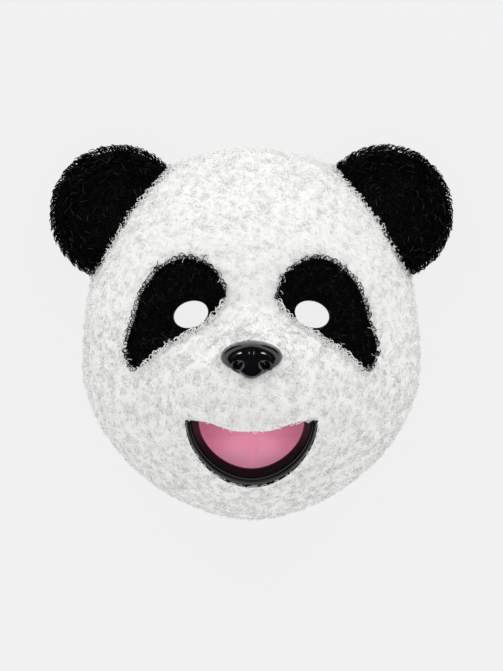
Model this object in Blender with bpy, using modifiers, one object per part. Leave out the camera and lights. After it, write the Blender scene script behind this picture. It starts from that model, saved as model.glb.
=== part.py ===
"""Plush panda face mask, at its real size in metres.

The mask lies on its rim with the face up: +Z is the way the face looks, +Y is the crown of the head
and +X is the viewer's right. The origin is the middle of the mask on the surface that it lies on.

A thin moulded shell gives the form. A curly plush skin covers it, with a black plush patch let in
round each eye hole. Two stuffed plush ears, a hard nose and a hard lower lip with a pink mouth lining
sit on it, and an elastic strap lies loose inside the rim.
"""

import math
from collections import namedtuple

import bmesh
import bpy
from mathutils import Vector

GAP = 0.0003  # left between pieces that touch on the real mask
GRID_PLACES = 6  # a wall's points lie on a grid of 0.001 mm, so its middle line is exact
QUARTER = math.pi / 2
BELOW_FLOOR = -0.02
CUTTER_REACH = 0.15  # how far an upright cutter runs up and down from the floor
SHARP_ANGLE = math.radians(40)
MIRROR_SIDES = (("left", -1), ("right", 1))

# Outline of the shell seen from the front: half a superellipse above its widest line and another below it
HALF_WIDTH = 0.0932
WIDEST_Y = -0.0213
CROWN_RISE = 0.1254
CROWN_POWER = 2.37
CHIN_DROP = 0.0828
CHIN_POWER = 1.77

# Section of the plain dome, from the middle of the face to the rim
DOME_HEIGHT = 0.068
DOME_POWER = 2.4
RIM_FADE = 6

# Soft forms that rise from the plain dome, or sink into it where the lift is negative. Each has its
# middle at x and y, half sizes, and an edge that is steeper at a higher power. A form off the middle
# line is there on both sides.
Form = namedtuple("Form", "name x y wide tall lift power")
FORMS = (
    Form("forehead", 0.0, 0.056, 0.060, 0.040, 0.010, 2.4),
    Form("muzzle", 0.0, -0.033, 0.046, 0.033, 0.030, 3.0),
    Form("jaw", 0.0, -0.086, 0.034, 0.026, 0.018, 2.0),
    Form("cheek", 0.060, -0.036, 0.026, 0.030, 0.007, 2.0),
    Form("eye socket", 0.036, 0.010, 0.020, 0.018, -0.006, 2.0),
    Form("nose bridge", 0.0, 0.008, 0.013, 0.024, 0.004, 2.0),
)

# Walls of the face
SHELL_THICK = 0.002
PILE_DEPTH = 0.008
PILE_TUFT = 0.0014
RIM_PILE = 0.0065  # how much deeper the pile stands at the rim, where it fans out
RIM_PILE_POWER = 5
PLUSH_HEM_RISE = 0.002
FACE_SEGMENTS = 48
FACE_RINGS = 12

# Eye holes: upright tunnels with an oval outline that falls towards the temple
EYE_X = 0.0356
EYE_Y = 0.0115
EYE_HALF_LONG = 0.0102
EYE_HALF_SHORT = 0.0074
EYE_SLANT = math.radians(16)

# Outline of the left eye patch, clockwise from its top, as the viewer sees it
PATCH_OUTLINE = (
    (-0.0378, 0.0440),
    (-0.0222, 0.0372),
    (-0.0152, 0.0234),
    (-0.0205, 0.0116),
    (-0.0385, -0.0010),
    (-0.0530, -0.0100),
    (-0.0670, -0.0204),
    (-0.0742, -0.0100),
    (-0.0694, 0.0090),
    (-0.0634, 0.0268),
    (-0.0524, 0.0392),
)

# Ears: round stuffed pads, level with the rim and let into the side of the plush
EAR_X = 0.0840
EAR_Y = 0.0762
EAR_Z = 0.0170
EAR_RADIUS = 0.0408
EAR_FRONT = 0.0175
EAR_BACK = 0.0130
EAR_POWER = 2.5
EAR_TUFT = 0.0013
EAR_RIM = 0.0020
EAR_SEGMENTS = 28
EAR_RINGS = 5

# Nose: a hard domed button that narrows downwards, seated on the shell through the plush
NOSE_Y = -0.0138
NOSE_HALF_WIDTH = 0.0174
NOSE_HALF_HEIGHT = 0.0108
NOSE_RISE = 0.0095
NOSE_ROUNDING = 0.8
NOSE_NARROWING = 0.38
NOSE_NARROWING_POWER = 1.6
NOSE_ROOT = 0.0015
NOSE_SEGMENTS = 24
NOSE_RINGS = 6
NOSE_OPENING_STEPS = 26
NOSTRIL_X = 0.0078
NOSTRIL_DROP = 0.0052
NOSTRIL_RISE = 0.0055
NOSTRIL_HALF_SIZES = (0.0030, 0.0022, 0.0040)
NOSTRIL_TURN = math.radians(35)

# Mouth: half superellipses that hang from one line, from the lip's outer edge to the lining's edge
MOUTH_Y = -0.0500
MOUTH_POWER = 1.95
Curve = namedtuple("Curve", "half_width drop")
LIP_OUTER = Curve(0.0373, 0.0391)
LIP_RIDGE = Curve(0.0342, 0.0330)
LIP_INNER = Curve(0.0298, 0.0278)
SHELL_MOUTH = Curve(0.0332, 0.0337)
LINING_EDGE = Curve(0.0364, 0.0368)
SHELL_MOUTH_SAG = 0.0030
PLUSH_MOUTH_SAG = 0.0055
PLUSH_MOUTH_TOP = 0.0010
SAG_START = 0.78
SAG_RUN = 0.6
LINING_TOP = 0.0040
LIP_STATIONS = 27
MOUTH_STEPS = 23
EDGE_STEPS = 11

# Section of the lip: each corner lies between two of the curves above, at a height over the shell
Corner = namedtuple("Corner", "first second share height")
LIP_SECTION = (
    Corner(LIP_OUTER, LIP_OUTER, 0.0, -0.0010),
    Corner(LIP_OUTER, LIP_OUTER, 0.0, 0.0065),
    Corner(LIP_OUTER, LIP_RIDGE, 0.25, 0.0098),
    Corner(LIP_OUTER, LIP_RIDGE, 0.65, 0.0123),
    Corner(LIP_RIDGE, LIP_RIDGE, 0.0, 0.0130),
    Corner(LIP_RIDGE, LIP_INNER, 0.30, 0.0122),
    Corner(LIP_RIDGE, LIP_INNER, 0.70, 0.0080),
    Corner(LIP_INNER, LIP_INNER, 0.0, 0.0030),
    Corner(LIP_INNER, LIP_INNER, 0.0, -0.0019),
    Corner(SHELL_MOUTH, LIP_INNER, 0.16, -0.0019),
    Corner(SHELL_MOUTH, LIP_INNER, 0.16, -0.0010),
)

# Mouth lining: a thin tray behind the shell, with a palate that slopes down to a flat tongue
LINING_THICK = 0.0024
LINING_LAND = 0.0025
LINING_SEGMENTS = 26
LINING_RINGS = 7
PALATE_FOOT_Y = -0.0600
PALATE_SLOPE = 1.75
TONGUE_FLOOR = 0.0585
TONGUE_RISE = 0.0022
TONGUE_RISE_LENGTH = 0.014
LINING_MIDDLE_DROP = 0.012
LINING_EDGE_SHARE = 0.22
TONGUE_GROOVE = 0.0016
TONGUE_GROOVE_HALF = 0.0030

# Elastic strap: a flat band on its edge, its ends held flat against the shell's inner face
STRAP_WIDTH = 0.012
STRAP_THICK = 0.0015
STRAP_LIFT = 0.0006
STRAP_END_Y = -0.004
STRAP_END_INSET = 0.0037
STRAP_SLACK_INSET = 0.0090
STRAP_HELD_SHARE = 0.05
STRAP_EASING_SHARE = 0.12
STRAP_POINTS = 34


def signed_power(value, power):
    """value raised to power, keeping its sign."""
    return math.copysign(abs(value) ** power, value)


def blend(share):
    """Smooth step from 0 to 1 as share goes from 0 to 1."""
    share = min(max(share, 0.0), 1.0)
    return share * share * (3 - 2 * share)


def outline_of(y):
    """(rise or drop, power) of the half of the outline that y lies in."""
    return (CROWN_RISE, CROWN_POWER) if y >= WIDEST_Y else (CHIN_DROP, CHIN_POWER)


def share_across(x, y):
    """0 in the middle of the face and 1 on its outline, along a superellipse through x and y."""
    reach, power = outline_of(y)
    return ((abs(x) / HALF_WIDTH) ** power + (abs(y - WIDEST_Y) / reach) ** power) ** (1 / power)


def swell(x, y):
    """Height that the soft forms add to the plain dome. They fade out at the rim."""
    fade = 1 - min(share_across(x, y), 1.0) ** RIM_FADE
    total = 0.0
    for form in FORMS:
        wide = abs(abs(x) - form.x) / form.wide
        tall = abs(y - form.y) / form.tall
        total += form.lift * math.exp(-(wide**form.power) - tall**form.power)
    return fade * total


def face_height(x, y):
    """Height of the shell's outer face over the plan position x, y."""
    across = min(share_across(x, y), 1.0)
    return DOME_HEIGHT * (1 - across**DOME_POWER) ** (1 / DOME_POWER) + swell(x, y)


def face_point(turn, rise):
    """Point of the shell's outer face. turn goes round the face, and rise goes from 0 in its middle to
    90 degrees at the rim, along a superellipse of power DOME_POWER."""
    reach, power = outline_of(WIDEST_Y + math.sin(turn))
    across = math.sin(rise) ** (2 / DOME_POWER)
    x = across * HALF_WIDTH * signed_power(math.cos(turn), 2 / power)
    y = WIDEST_Y + across * reach * signed_power(math.sin(turn), 2 / power)
    dome = DOME_HEIGHT * max(math.cos(rise), 0.0) ** (2 / DOME_POWER)
    return Vector((x, y, dome + swell(x, y)))


def beyond_face(point):
    """Zero on the shell's outer face, and more than zero outside it."""
    dome = abs(point.z - swell(point.x, point.y)) / DOME_HEIGHT
    return share_across(point.x, point.y) ** DOME_POWER + dome**DOME_POWER - 1


def face_normal(point):
    """Outward direction at a point of the shell's outer face: the slope of beyond_face along each axis."""
    step = 0.0002
    slopes = []
    for axis in (Vector((step, 0, 0)), Vector((0, step, 0)), Vector((0, 0, step))):
        slopes.append(beyond_face(point + axis) - beyond_face(point - axis))
    return Vector(slopes).normalized()


def lifted_face(turn, rise, lift):
    """Point at the distance lift from the shell's outer face, outwards."""
    point = face_point(turn, rise)
    return point + face_normal(point) * lift


def collection_named(name):
    """A new collection in the scene."""
    collection = bpy.data.collections.new(name)
    bpy.context.scene.collection.children.link(collection)
    return collection


def finish_of(name, colour, roughness, metallic=0.0):
    """A plain Principled material."""
    material = bpy.data.materials.new(name)
    material.use_nodes = True
    shader = material.node_tree.nodes["Principled BSDF"]
    shader.inputs["Base Color"].default_value = (*colour, 1.0)
    shader.inputs["Roughness"].default_value = roughness
    shader.inputs["Metallic"].default_value = metallic
    return material


def add_object(name, data, collection, material=None):
    """Links an object for data, with its material."""
    made = bpy.data.objects.new(name, data)
    if material:
        data.materials.append(material)
    collection.objects.link(made)
    return made


def mark_cutter(cutter):
    """A cutter shows as a wire and is no part of the mask."""
    cutter.hide_render = True
    cutter.display_type = "WIRE"
    return cutter


def boolean(target, cutter, operation="DIFFERENCE"):
    """Adds a Boolean modifier that cuts target with cutter."""
    modifier = target.modifiers.new(f"{operation.lower()} {cutter.name}", "BOOLEAN")
    modifier.operation = operation
    modifier.object = cutter
    modifier.solver = "EXACT"


def split_alike(body, raised):
    """Splits each four-sided face from one raised corner to the other, so that walls with the same rows
    nest and the left half mirrors the right."""
    for face in list(body.faces):
        corners = list(face.verts)
        if len(corners) == 4 and raised[corners[0]] == raised[corners[2]]:
            first = 0 if raised[corners[0]] > 0 else 1
            bmesh.utils.face_split(face, corners[first], corners[first + 2])


def folded_sphere(name, segments, rings, outer, inner, collection, material=None):
    """A closed wall made from one sphere. The upper half of the sphere becomes the outer face and the
    lower half the inner face, row for row, and the band between the two halves becomes the rim. outer
    and inner give a point for a turn, a rise and raised, which is 1 and -1 on alternate vertices."""
    rows = 2 * rings + 1
    body = bmesh.new()
    bmesh.ops.create_uvsphere(body, u_segments=segments, v_segments=rows, radius=1.0)
    raised = {}
    for vertex in body.verts:
        turn = math.atan2(vertex.co.y, vertex.co.x)
        row = round(math.acos(max(-1.0, min(1.0, vertex.co.z))) * rows / math.pi)
        column = round(turn * segments / math.tau)
        face = outer if row <= rings else inner
        row = min(row, rows - row)
        raised[vertex] = (-1) ** (row + column)
        point = face(turn, row / rings * QUARTER, raised[vertex])
        vertex.co = [round(value, GRID_PLACES) for value in point]
    split_alike(body, raised)
    mesh = bpy.data.meshes.new(name)
    body.to_mesh(mesh)
    body.free()
    mesh.shade_smooth()
    mesh.set_sharp_from_angle(angle=SHARP_ANGLE)
    return add_object(name, mesh, collection, material)


def rise_at(height):
    """The rise at which the plain dome has a height."""
    return math.acos((height / DOME_HEIGHT) ** (DOME_POWER / 2))


def pile_top(lift, turn, rise, raised):
    """Point on top of the plush: lift from the face in its middle, and RIM_PILE more at the rim. The
    tufts raise and lower alternate points, less where they lie close together in the middle."""
    fan = RIM_PILE * math.sin(rise) ** RIM_PILE_POWER
    held = min(rise, rise_at(PLUSH_HEM_RISE))
    return lifted_face(turn, held, lift + fan + PILE_TUFT * raised * math.sin(rise))


def face_wall(name, inner_lift, outer_lift, collection, material=None):
    """A wall of even thickness that follows the face between two lifts, down to the floor."""

    def outer(turn, rise, raised):
        return lifted_face(turn, rise, outer_lift)

    def inner(turn, rise, raised):
        return lifted_face(turn, rise, inner_lift)

    return folded_sphere(name, FACE_SEGMENTS, FACE_RINGS, outer, inner, collection, material)


def plush_wall(name, collection, material):
    """The plush, from the shell to the top of its pile. Its rim is held off the floor, and the rows
    above its rim are the same as in each other wall, so walls nest."""
    steepest = rise_at(PLUSH_HEM_RISE)

    def outer(turn, rise, raised):
        return pile_top(GAP + PILE_DEPTH, turn, rise, raised)

    def inner(turn, rise, raised):
        return lifted_face(turn, min(rise, steepest), GAP)

    return folded_sphere(name, FACE_SEGMENTS, FACE_RINGS, outer, inner, collection, material)


def block_under(name, outer, collection):
    """A solid block, as a cutter, that fills the face from below the floor up to its outer face."""

    def inner(turn, rise, raised):
        point = outer(turn, rise, raised)
        return Vector((point.x, point.y, BELOW_FLOOR))

    return mark_cutter(folded_sphere(name, FACE_SEGMENTS, FACE_RINGS, outer, inner, collection))


def plush_block_face(turn, rise, raised):
    """Outer face of the block that cuts the ears: just clear of the plush."""
    return pile_top(2 * GAP + PILE_DEPTH, turn, rise, raised)


def shell_block_face(turn, rise, raised):
    """Outer face of the block that cuts the nose: just clear of the shell."""
    return lifted_face(turn, rise, GAP)


def as_mesh(curve_object, collection):
    """Replaces a curve object by the mesh that it makes, with its caps joined."""
    graph = bpy.context.evaluated_depsgraph_get()
    mesh = bpy.data.meshes.new_from_object(curve_object.evaluated_get(graph))
    body = bmesh.new()
    body.from_mesh(mesh)
    bmesh.ops.remove_doubles(body, verts=body.verts, dist=1e-6)
    bmesh.ops.recalc_face_normals(body, faces=body.faces)
    body.to_mesh(mesh)
    body.free()
    name, place = curve_object.name, curve_object.matrix_world.copy()
    bpy.data.objects.remove(curve_object)
    made = add_object(name, mesh, collection)
    made.matrix_world = place
    return made


def upright_prism(name, points, collection, smooth=False, offset=0.0):
    """A tall prism on a closed outline in plan, as a cutter. A smooth outline curves through its
    points."""
    curve = bpy.data.curves.new(name, "CURVE")
    curve.dimensions = "2D"
    curve.fill_mode = "BOTH"
    curve.extrude = CUTTER_REACH
    curve.offset = offset
    curve.resolution_u = 4
    spline = curve.splines.new("BEZIER" if smooth else "POLY")
    spline.use_cyclic_u = True
    if smooth:
        spline.bezier_points.add(len(points) - 1)
        for knot, (x, y) in zip(spline.bezier_points, points):
            knot.co = (x, y, 0)
            knot.handle_left_type = knot.handle_right_type = "AUTO"
    else:
        spline.points.add(len(points) - 1)
        for knot, (x, y) in zip(spline.points, points):
            knot.co = (x, y, 0, 1)
    prism = add_object(name, curve, collection)
    bpy.context.view_layer.update()
    return mark_cutter(as_mesh(prism, collection))


def mouth_point(curve, angle):
    """Plan position on one of the mouth's curves. angle goes from 0 at the right corner through 90
    degrees at the bottom to 180 degrees at the left corner."""
    x = curve.half_width * signed_power(math.cos(angle), 2 / MOUTH_POWER)
    y = MOUTH_Y - curve.drop * abs(math.sin(angle)) ** (2 / MOUTH_POWER)
    return x, y


def mouth_outline(curve, top, sag, grow=0.0):
    """Closed outline of a mouth opening: the curve below, and above it an edge at the height top that
    sags in the middle. grow widens it on every side."""
    wider = Curve(curve.half_width + grow, curve.drop + grow)
    corner_y = MOUTH_Y + top + grow
    points = []
    for step in range(MOUTH_STEPS + 1):
        x, y = mouth_point(wider, math.pi * step / MOUTH_STEPS)
        if y < corner_y - GAP / 2:
            points.append((x, y))
    half = abs(points[0][0])
    for step in range(EDGE_STEPS + 1):
        share = 2 * step / EDGE_STEPS - 1
        drop = sag * blend((SAG_START - abs(share)) / SAG_RUN)
        points.append((share * half, corner_y - drop))
    return points


def newest_as_cutter(name, collection):
    """Names the primitive that was just added, and moves it to the cutters."""
    cutter = bpy.context.object
    cutter.name = name
    for other in cutter.users_collection:
        other.objects.unlink(cutter)
    collection.objects.link(cutter)
    return mark_cutter(cutter)


def eye_hole(side_name, side, collection):
    """Cutter for one eye hole."""
    bpy.ops.mesh.primitive_cylinder_add(vertices=28, radius=1.0, depth=2 * CUTTER_REACH)
    cutter = newest_as_cutter(f"eye_hole_{side_name}", collection)
    cutter.scale = (EYE_HALF_LONG, EYE_HALF_SHORT, 1.0)
    cutter.rotation_euler.z = -side * EYE_SLANT
    cutter.location = (side * EYE_X, EYE_Y, 0.0)
    return cutter


def patch_prism(side_name, side, grow, collection):
    """Cutter with the outline of one eye patch, widened by grow."""
    points = [(-side * x, y) for x, y in PATCH_OUTLINE]
    if side > 0:
        points.reverse()
    return upright_prism(f"patch_{side_name}_{grow:.4f}", points, collection, smooth=True, offset=grow)


def make_ear(side_name, side, plush_block, collection, material):
    """A round pad, thickest in the middle, whose inner side is cut to the plush that it is sewn to."""

    def pad(turn, rise, raised, height):
        radius = EAR_RADIUS * math.sin(rise) ** (2 / EAR_POWER) + raised * EAR_TUFT * math.sin(rise)
        x = side * EAR_X + radius * math.cos(turn)
        y = EAR_Y + radius * math.sin(turn)
        lift = height * max(math.cos(rise), 0.0) ** (2 / EAR_POWER)
        tuft = math.copysign(EAR_TUFT * math.sin(rise) * math.cos(rise), height)
        return Vector((x, y, EAR_Z + lift + raised * tuft))

    def front(turn, rise, raised):
        return pad(turn, rise, raised, EAR_FRONT)

    def back(turn, rise, raised):
        return pad(turn, rise, raised, -EAR_BACK) - Vector((0, 0, EAR_RIM))

    name = f"ear_{side_name}"
    ear = folded_sphere(name, EAR_SEGMENTS, EAR_RINGS, front, back, collection, material)
    boolean(ear, plush_block)


def nose_plan(turn, rise, grow=0.0):
    """Plan position on the nose: an oval that narrows below its middle."""
    across = math.sin(rise) ** NOSE_ROUNDING
    below = max(-math.sin(turn), 0.0)
    narrowing = 1 - NOSE_NARROWING * below**NOSE_NARROWING_POWER
    x = (NOSE_HALF_WIDTH + grow) * across * math.cos(turn) * narrowing
    y = NOSE_Y + (NOSE_HALF_HEIGHT + grow) * across * math.sin(turn)
    return x, y


def make_nose(shell_block, collection, cutters, material):
    """The nose, cut to the shell behind it, with two nostrils."""
    half_step = math.pi / NOSE_SEGMENTS

    def front(turn, rise, raised):
        x, y = nose_plan(turn + half_step, rise)
        dome = NOSE_RISE * max(math.cos(rise), 0.0) ** NOSE_ROUNDING
        return Vector((x, y, face_height(x, y) + PILE_DEPTH - NOSE_ROOT + dome))

    def back(turn, rise, raised):
        x, y = nose_plan(turn + half_step, rise)
        return Vector((x, y, face_height(x, y) - SHELL_THICK))

    nose = folded_sphere("nose", NOSE_SEGMENTS, NOSE_RINGS, front, back, collection, material)
    boolean(nose, shell_block)
    for side_name, side in MIRROR_SIDES:
        x, y = side * NOSTRIL_X, NOSE_Y - NOSTRIL_DROP
        bpy.ops.mesh.primitive_uv_sphere_add(segments=14, ring_count=8, radius=1.0)
        nostril = newest_as_cutter(f"nostril_{side_name}", cutters)
        nostril.scale = NOSTRIL_HALF_SIZES
        nostril.rotation_euler.z = side * NOSTRIL_TURN
        nostril.location = (x, y, face_height(x, y) + PILE_DEPTH + NOSTRIL_RISE)
        boolean(nose, nostril)


def make_lip(shell_clearance, collection, material):
    """The lower lip: LIP_SECTION carried round the mouth from corner to corner, and cut to the shell."""
    body = bmesh.new()
    sections = []
    for station in range(LIP_STATIONS + 1):
        angle = math.pi * station / LIP_STATIONS
        section = []
        for corner in LIP_SECTION:
            first = Vector(mouth_point(corner.first, angle))
            second = Vector(mouth_point(corner.second, angle))
            x, y = first.lerp(second, corner.share)
            section.append(body.verts.new((x, y, face_height(x, y) + corner.height)))
        sections.append(section)
    count = len(LIP_SECTION)
    for near, far in zip(sections, sections[1:]):
        for index in range(count):
            after = (index + 1) % count
            body.faces.new((near[index], near[after], far[after], far[index]))
    body.faces.new(sections[0][::-1])
    body.faces.new(sections[-1])
    bmesh.ops.recalc_face_normals(body, faces=body.faces)
    mesh = bpy.data.meshes.new("lip")
    body.to_mesh(mesh)
    body.free()
    mesh.shade_smooth()
    mesh.set_sharp_from_angle(angle=SHARP_ANGLE)
    lip = add_object("lip", mesh, collection, material)
    boolean(lip, shell_clearance)


def lining_height(x, y, share):
    """Height of the lining's front: flat against the shell round its edge, and inside that the higher
    of the tongue and the sloping palate."""
    edge = face_height(x, y) - LINING_LAND
    groove = TONGUE_GROOVE * math.exp(-((x / TONGUE_GROOVE_HALF) ** 2))
    tongue = TONGUE_FLOOR + TONGUE_RISE * blend((PALATE_FOOT_Y - y) / TONGUE_RISE_LENGTH) - groove
    palate = tongue + max(0.0, y - PALATE_FOOT_Y) * PALATE_SLOPE
    inside = min(edge, palate)
    return edge + (inside - edge) * blend((1 - share) / LINING_EDGE_SHARE)


def make_lining(shell_clearance, collection, material):
    """The pink tray behind the mouth opening, cut to the back of the shell."""
    half_step = math.pi / LINING_SEGMENTS

    def tray(turn, rise, drop):
        turn = math.remainder(turn + half_step, math.tau)
        share = math.sin(rise)
        if math.sin(turn) < 0:
            x, y = mouth_point(LINING_EDGE, -turn)
        else:
            x, y = LINING_EDGE.half_width * math.cos(turn), MOUTH_Y + LINING_TOP * math.sin(turn)
        middle_y = MOUTH_Y - LINING_MIDDLE_DROP
        x, y = share * x, middle_y + share * (y - middle_y)
        return Vector((x, y, lining_height(x, y, share) - drop))

    def front(turn, rise, raised):
        return tray(turn, rise, 0.0)

    def back(turn, rise, raised):
        return tray(turn, rise, LINING_THICK)

    sizes = (LINING_SEGMENTS, LINING_RINGS)
    lining = folded_sphere("mouth_lining", *sizes, front, back, collection, material)
    boolean(lining, shell_clearance)


def make_strap(collection, material):
    """A flat band on its edge, from one temple round inside the crown of the rim to the other."""
    curve = bpy.data.curves.new("head_strap", "CURVE")
    curve.dimensions = "3D"
    curve.twist_mode = "Z_UP"
    curve.extrude = STRAP_WIDTH / 2
    spline = curve.splines.new("POLY")
    spline.points.add(STRAP_POINTS)
    first = math.asin((STRAP_END_Y - WIDEST_Y) / CROWN_RISE)
    for index, knot in enumerate(spline.points):
        share = index / STRAP_POINTS
        turn = first + (math.pi - 2 * first) * share
        slack = blend((min(share, 1 - share) - STRAP_HELD_SHARE) / STRAP_EASING_SHARE)
        inset = STRAP_END_INSET + (STRAP_SLACK_INSET - STRAP_END_INSET) * slack
        point = lifted_face(turn, QUARTER, -inset)
        knot.co = (point.x, point.y, STRAP_LIFT + STRAP_WIDTH / 2, 1)
    strap = add_object("head_strap", curve, collection, material)
    wall = strap.modifiers.new("thickness", "SOLIDIFY")
    wall.thickness = STRAP_THICK
    wall.offset = 0


def make_face(parts, cutters, finishes):
    """The shell, the white plush skin and the two eye patches."""
    shell = face_wall("face_shell", -SHELL_THICK, 0.0, parts, finishes["shell"])
    plush = plush_wall("face_plush", parts, finishes["white plush"])
    for side_name, side in MIRROR_SIDES:
        hole = eye_hole(side_name, side, cutters)
        boolean(shell, hole)
        boolean(plush, patch_prism(side_name, side, GAP, cutters))
        patch = plush_wall(f"eye_patch_{side_name}", parts, finishes["black plush"])
        boolean(patch, patch_prism(side_name, side, 0.0, cutters), "INTERSECT")
        boolean(patch, hole)
    shell_mouth = mouth_outline(SHELL_MOUTH, 0.0, SHELL_MOUTH_SAG)
    boolean(shell, upright_prism("shell_mouth", shell_mouth, cutters))
    plush_mouth = mouth_outline(LIP_OUTER, PLUSH_MOUTH_TOP, PLUSH_MOUTH_SAG, GAP)
    boolean(plush, upright_prism("plush_mouth", plush_mouth, cutters))
    nose_points = []
    for step in range(NOSE_OPENING_STEPS):
        nose_points.append(nose_plan(math.tau * (step + 0.5) / NOSE_OPENING_STEPS, QUARTER, GAP))
    boolean(plush, upright_prism("plush_nose", nose_points, cutters))


def make_mask():
    """Clears the scene and builds every piece."""
    for old in list(bpy.data.objects):
        bpy.data.objects.remove(old)
    parts = collection_named("panda_mask")
    cutters = collection_named("cutters")
    finishes = {
        "shell": finish_of("moulded shell", (0.80, 0.79, 0.76), 0.55),
        "white plush": finish_of("white curly plush", (0.88, 0.88, 0.86), 0.95),
        "black plush": finish_of("black curly plush", (0.012, 0.012, 0.012), 0.95),
        "black gloss": finish_of("black gloss plastic", (0.010, 0.010, 0.012), 0.12),
        "pink": finish_of("pink satin plastic", (0.72, 0.24, 0.36), 0.35),
        "elastic": finish_of("white elastic", (0.85, 0.85, 0.83), 0.8),
    }
    make_face(parts, cutters, finishes)
    plush_block = block_under("plush_block", plush_block_face, cutters)
    shell_block = block_under("shell_block", shell_block_face, cutters)
    clearance = (-SHELL_THICK - GAP, GAP)
    shell_clearance = mark_cutter(face_wall("shell_clearance", *clearance, cutters))
    narrower = mouth_outline(SHELL_MOUTH, 0.0, SHELL_MOUTH_SAG, -GAP)
    boolean(shell_clearance, upright_prism("clearance_mouth", narrower, cutters))
    for side_name, side in MIRROR_SIDES:
        make_ear(side_name, side, plush_block, parts, finishes["black plush"])
    make_nose(shell_block, parts, cutters, finishes["black gloss"])
    make_lip(shell_clearance, parts, finishes["black gloss"])
    make_lining(shell_clearance, parts, finishes["pink"])
    make_strap(parts, finishes["elastic"])


make_mask()
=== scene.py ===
# %% [markdown]
# # A curly plush panda mask
# The real mask is a thin moulded face with curly plush glued over it, two stuffed ears, a hard nose and a
# hard smiling lip round a pink tongue. It lies on its rim and looks up: +Z comes out of the face and +Y
# runs to the crown. The frame gives each part's place in metres, and every piece made here follows it.

# %% Load the frame
import math

import bpy
import numpy as np
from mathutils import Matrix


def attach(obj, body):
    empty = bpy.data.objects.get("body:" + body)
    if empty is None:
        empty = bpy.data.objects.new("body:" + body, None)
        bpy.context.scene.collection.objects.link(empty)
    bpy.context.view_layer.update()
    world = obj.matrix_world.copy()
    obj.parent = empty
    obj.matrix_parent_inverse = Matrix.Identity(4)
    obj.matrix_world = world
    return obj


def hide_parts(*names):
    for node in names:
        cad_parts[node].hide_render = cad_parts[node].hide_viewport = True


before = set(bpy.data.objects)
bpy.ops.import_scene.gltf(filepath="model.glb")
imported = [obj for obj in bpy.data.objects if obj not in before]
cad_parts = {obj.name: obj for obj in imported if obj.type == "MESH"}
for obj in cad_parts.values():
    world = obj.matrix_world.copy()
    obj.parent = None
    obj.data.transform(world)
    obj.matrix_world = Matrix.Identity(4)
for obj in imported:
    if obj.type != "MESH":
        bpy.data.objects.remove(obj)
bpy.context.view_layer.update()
scene = bpy.context.scene
MM = 0.001
print("nodes:", ", ".join(sorted(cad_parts)))

# %% [markdown]
# ## Camera
# The photo looks straight at the face, so the camera hangs over the mask and looks straight down. Its
# height sets how much larger the near muzzle looks than the far rim, and its lens then follows from the
# scale of the photo at the height where the head is widest.

# %% Camera
PHOTO_HEIGHT = 671
PHOTO_MIDDLE = (251.5, 335.5)
MASK_MIDDLE = (251.5, 334.0)  # the photo pixel over the frame's origin
SCALE = 0.62 * MM  # metres in a photo pixel, where the head is widest
WIDEST_Z = 0.030
CAMERA_Z = 0.700

camera_data = bpy.data.cameras.new("camera")
camera = bpy.data.objects.new("camera", camera_data)
scene.collection.objects.link(camera)
camera.location = (0.0, (MASK_MIDDLE[1] - PHOTO_MIDDLE[1]) * SCALE, CAMERA_Z)
camera_data.lens = camera_data.sensor_width * (CAMERA_Z - WIDEST_Z) / (PHOTO_HEIGHT * SCALE)
camera_data.clip_start = 0.01
scene.camera = camera
print(f"lens: {camera_data.lens:.1f} mm")

# %% [markdown]
# ## Light
# In the photo the white plush is lit evenly, the hard nose shows two small highlights in a dark front and
# a grey rim, and there is no shadow on the backdrop, which shows through the eye holes as bright as round
# the mask. So the room is bright round its sides and dimmer overhead, and gloss mirrors only the lights
# and the mask itself, as in front of a black screen round the camera. Two soft lights stand on the crown's
# side, where the front of the nose mirrors them to the camera, and the pale floor is a faint light table.

# %% Lights and floor
ROOM_SIDES = 1.10
ROOM_OVERHEAD = 0.78
SIDE_POWER = 1.3
SIDE_SIZE = 0.17
FLOOR_GLOW = 0.82
FLOOR_COLOUR = 0.06

world = bpy.data.worlds.new("room")
world.use_nodes = True
room = world.node_tree
way = room.nodes.new("ShaderNodeTexCoord")
split = room.nodes.new("ShaderNodeSeparateXYZ")
room.links.new(way.outputs["Generated"], split.inputs[0])
overhead = room.nodes.new("ShaderNodeMapRange")
overhead.interpolation_type = "SMOOTHSTEP"
overhead.inputs["From Min"].default_value = 0.25
overhead.inputs["From Max"].default_value = 0.75
overhead.inputs["To Min"].default_value = ROOM_SIDES
overhead.inputs["To Max"].default_value = ROOM_OVERHEAD
room.links.new(split.outputs["Z"], overhead.inputs["Value"])
room.links.new(overhead.outputs["Result"], room.nodes["Background"].inputs["Strength"])
room.nodes["Background"].inputs["Color"].default_value = (1.0, 1.0, 1.0, 1.0)
world.cycles_visibility.glossy = False
scene.world = world
scene.view_settings.view_transform = "Standard"


def add_light(name, place, target, size, power):
    """A square area light at place that faces target, both in metres."""
    data = bpy.data.lights.new(name, "AREA")
    data.shape = "SQUARE"
    data.size = size
    data.energy = power
    light = bpy.data.objects.new(name, data)
    scene.collection.objects.link(light)
    away = np.array(place) - np.array(target)
    across = math.hypot(away[0], away[1])
    light.location = place
    light.rotation_euler = (math.atan2(across, away[2]), 0.0, math.atan2(away[0], -away[1]))


LIGHT_TARGET = (0.0, 0.0, 0.05)
for light_name, light_x in (("left light", -0.48), ("right light", 0.48)):
    add_light(light_name, (light_x, 0.73, 0.59), LIGHT_TARGET, SIDE_SIZE, SIDE_POWER)

floor_mesh = bpy.data.meshes.new("floor")
FLOOR_HALF = 3.0
near, far = -FLOOR_HALF, FLOOR_HALF
floor_mesh.from_pydata([(near, near, 0), (far, near, 0), (far, far, 0), (near, far, 0)], [], [(0, 1, 2, 3)])
floor = bpy.data.objects.new("floor", floor_mesh)
scene.collection.objects.link(floor)

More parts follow.
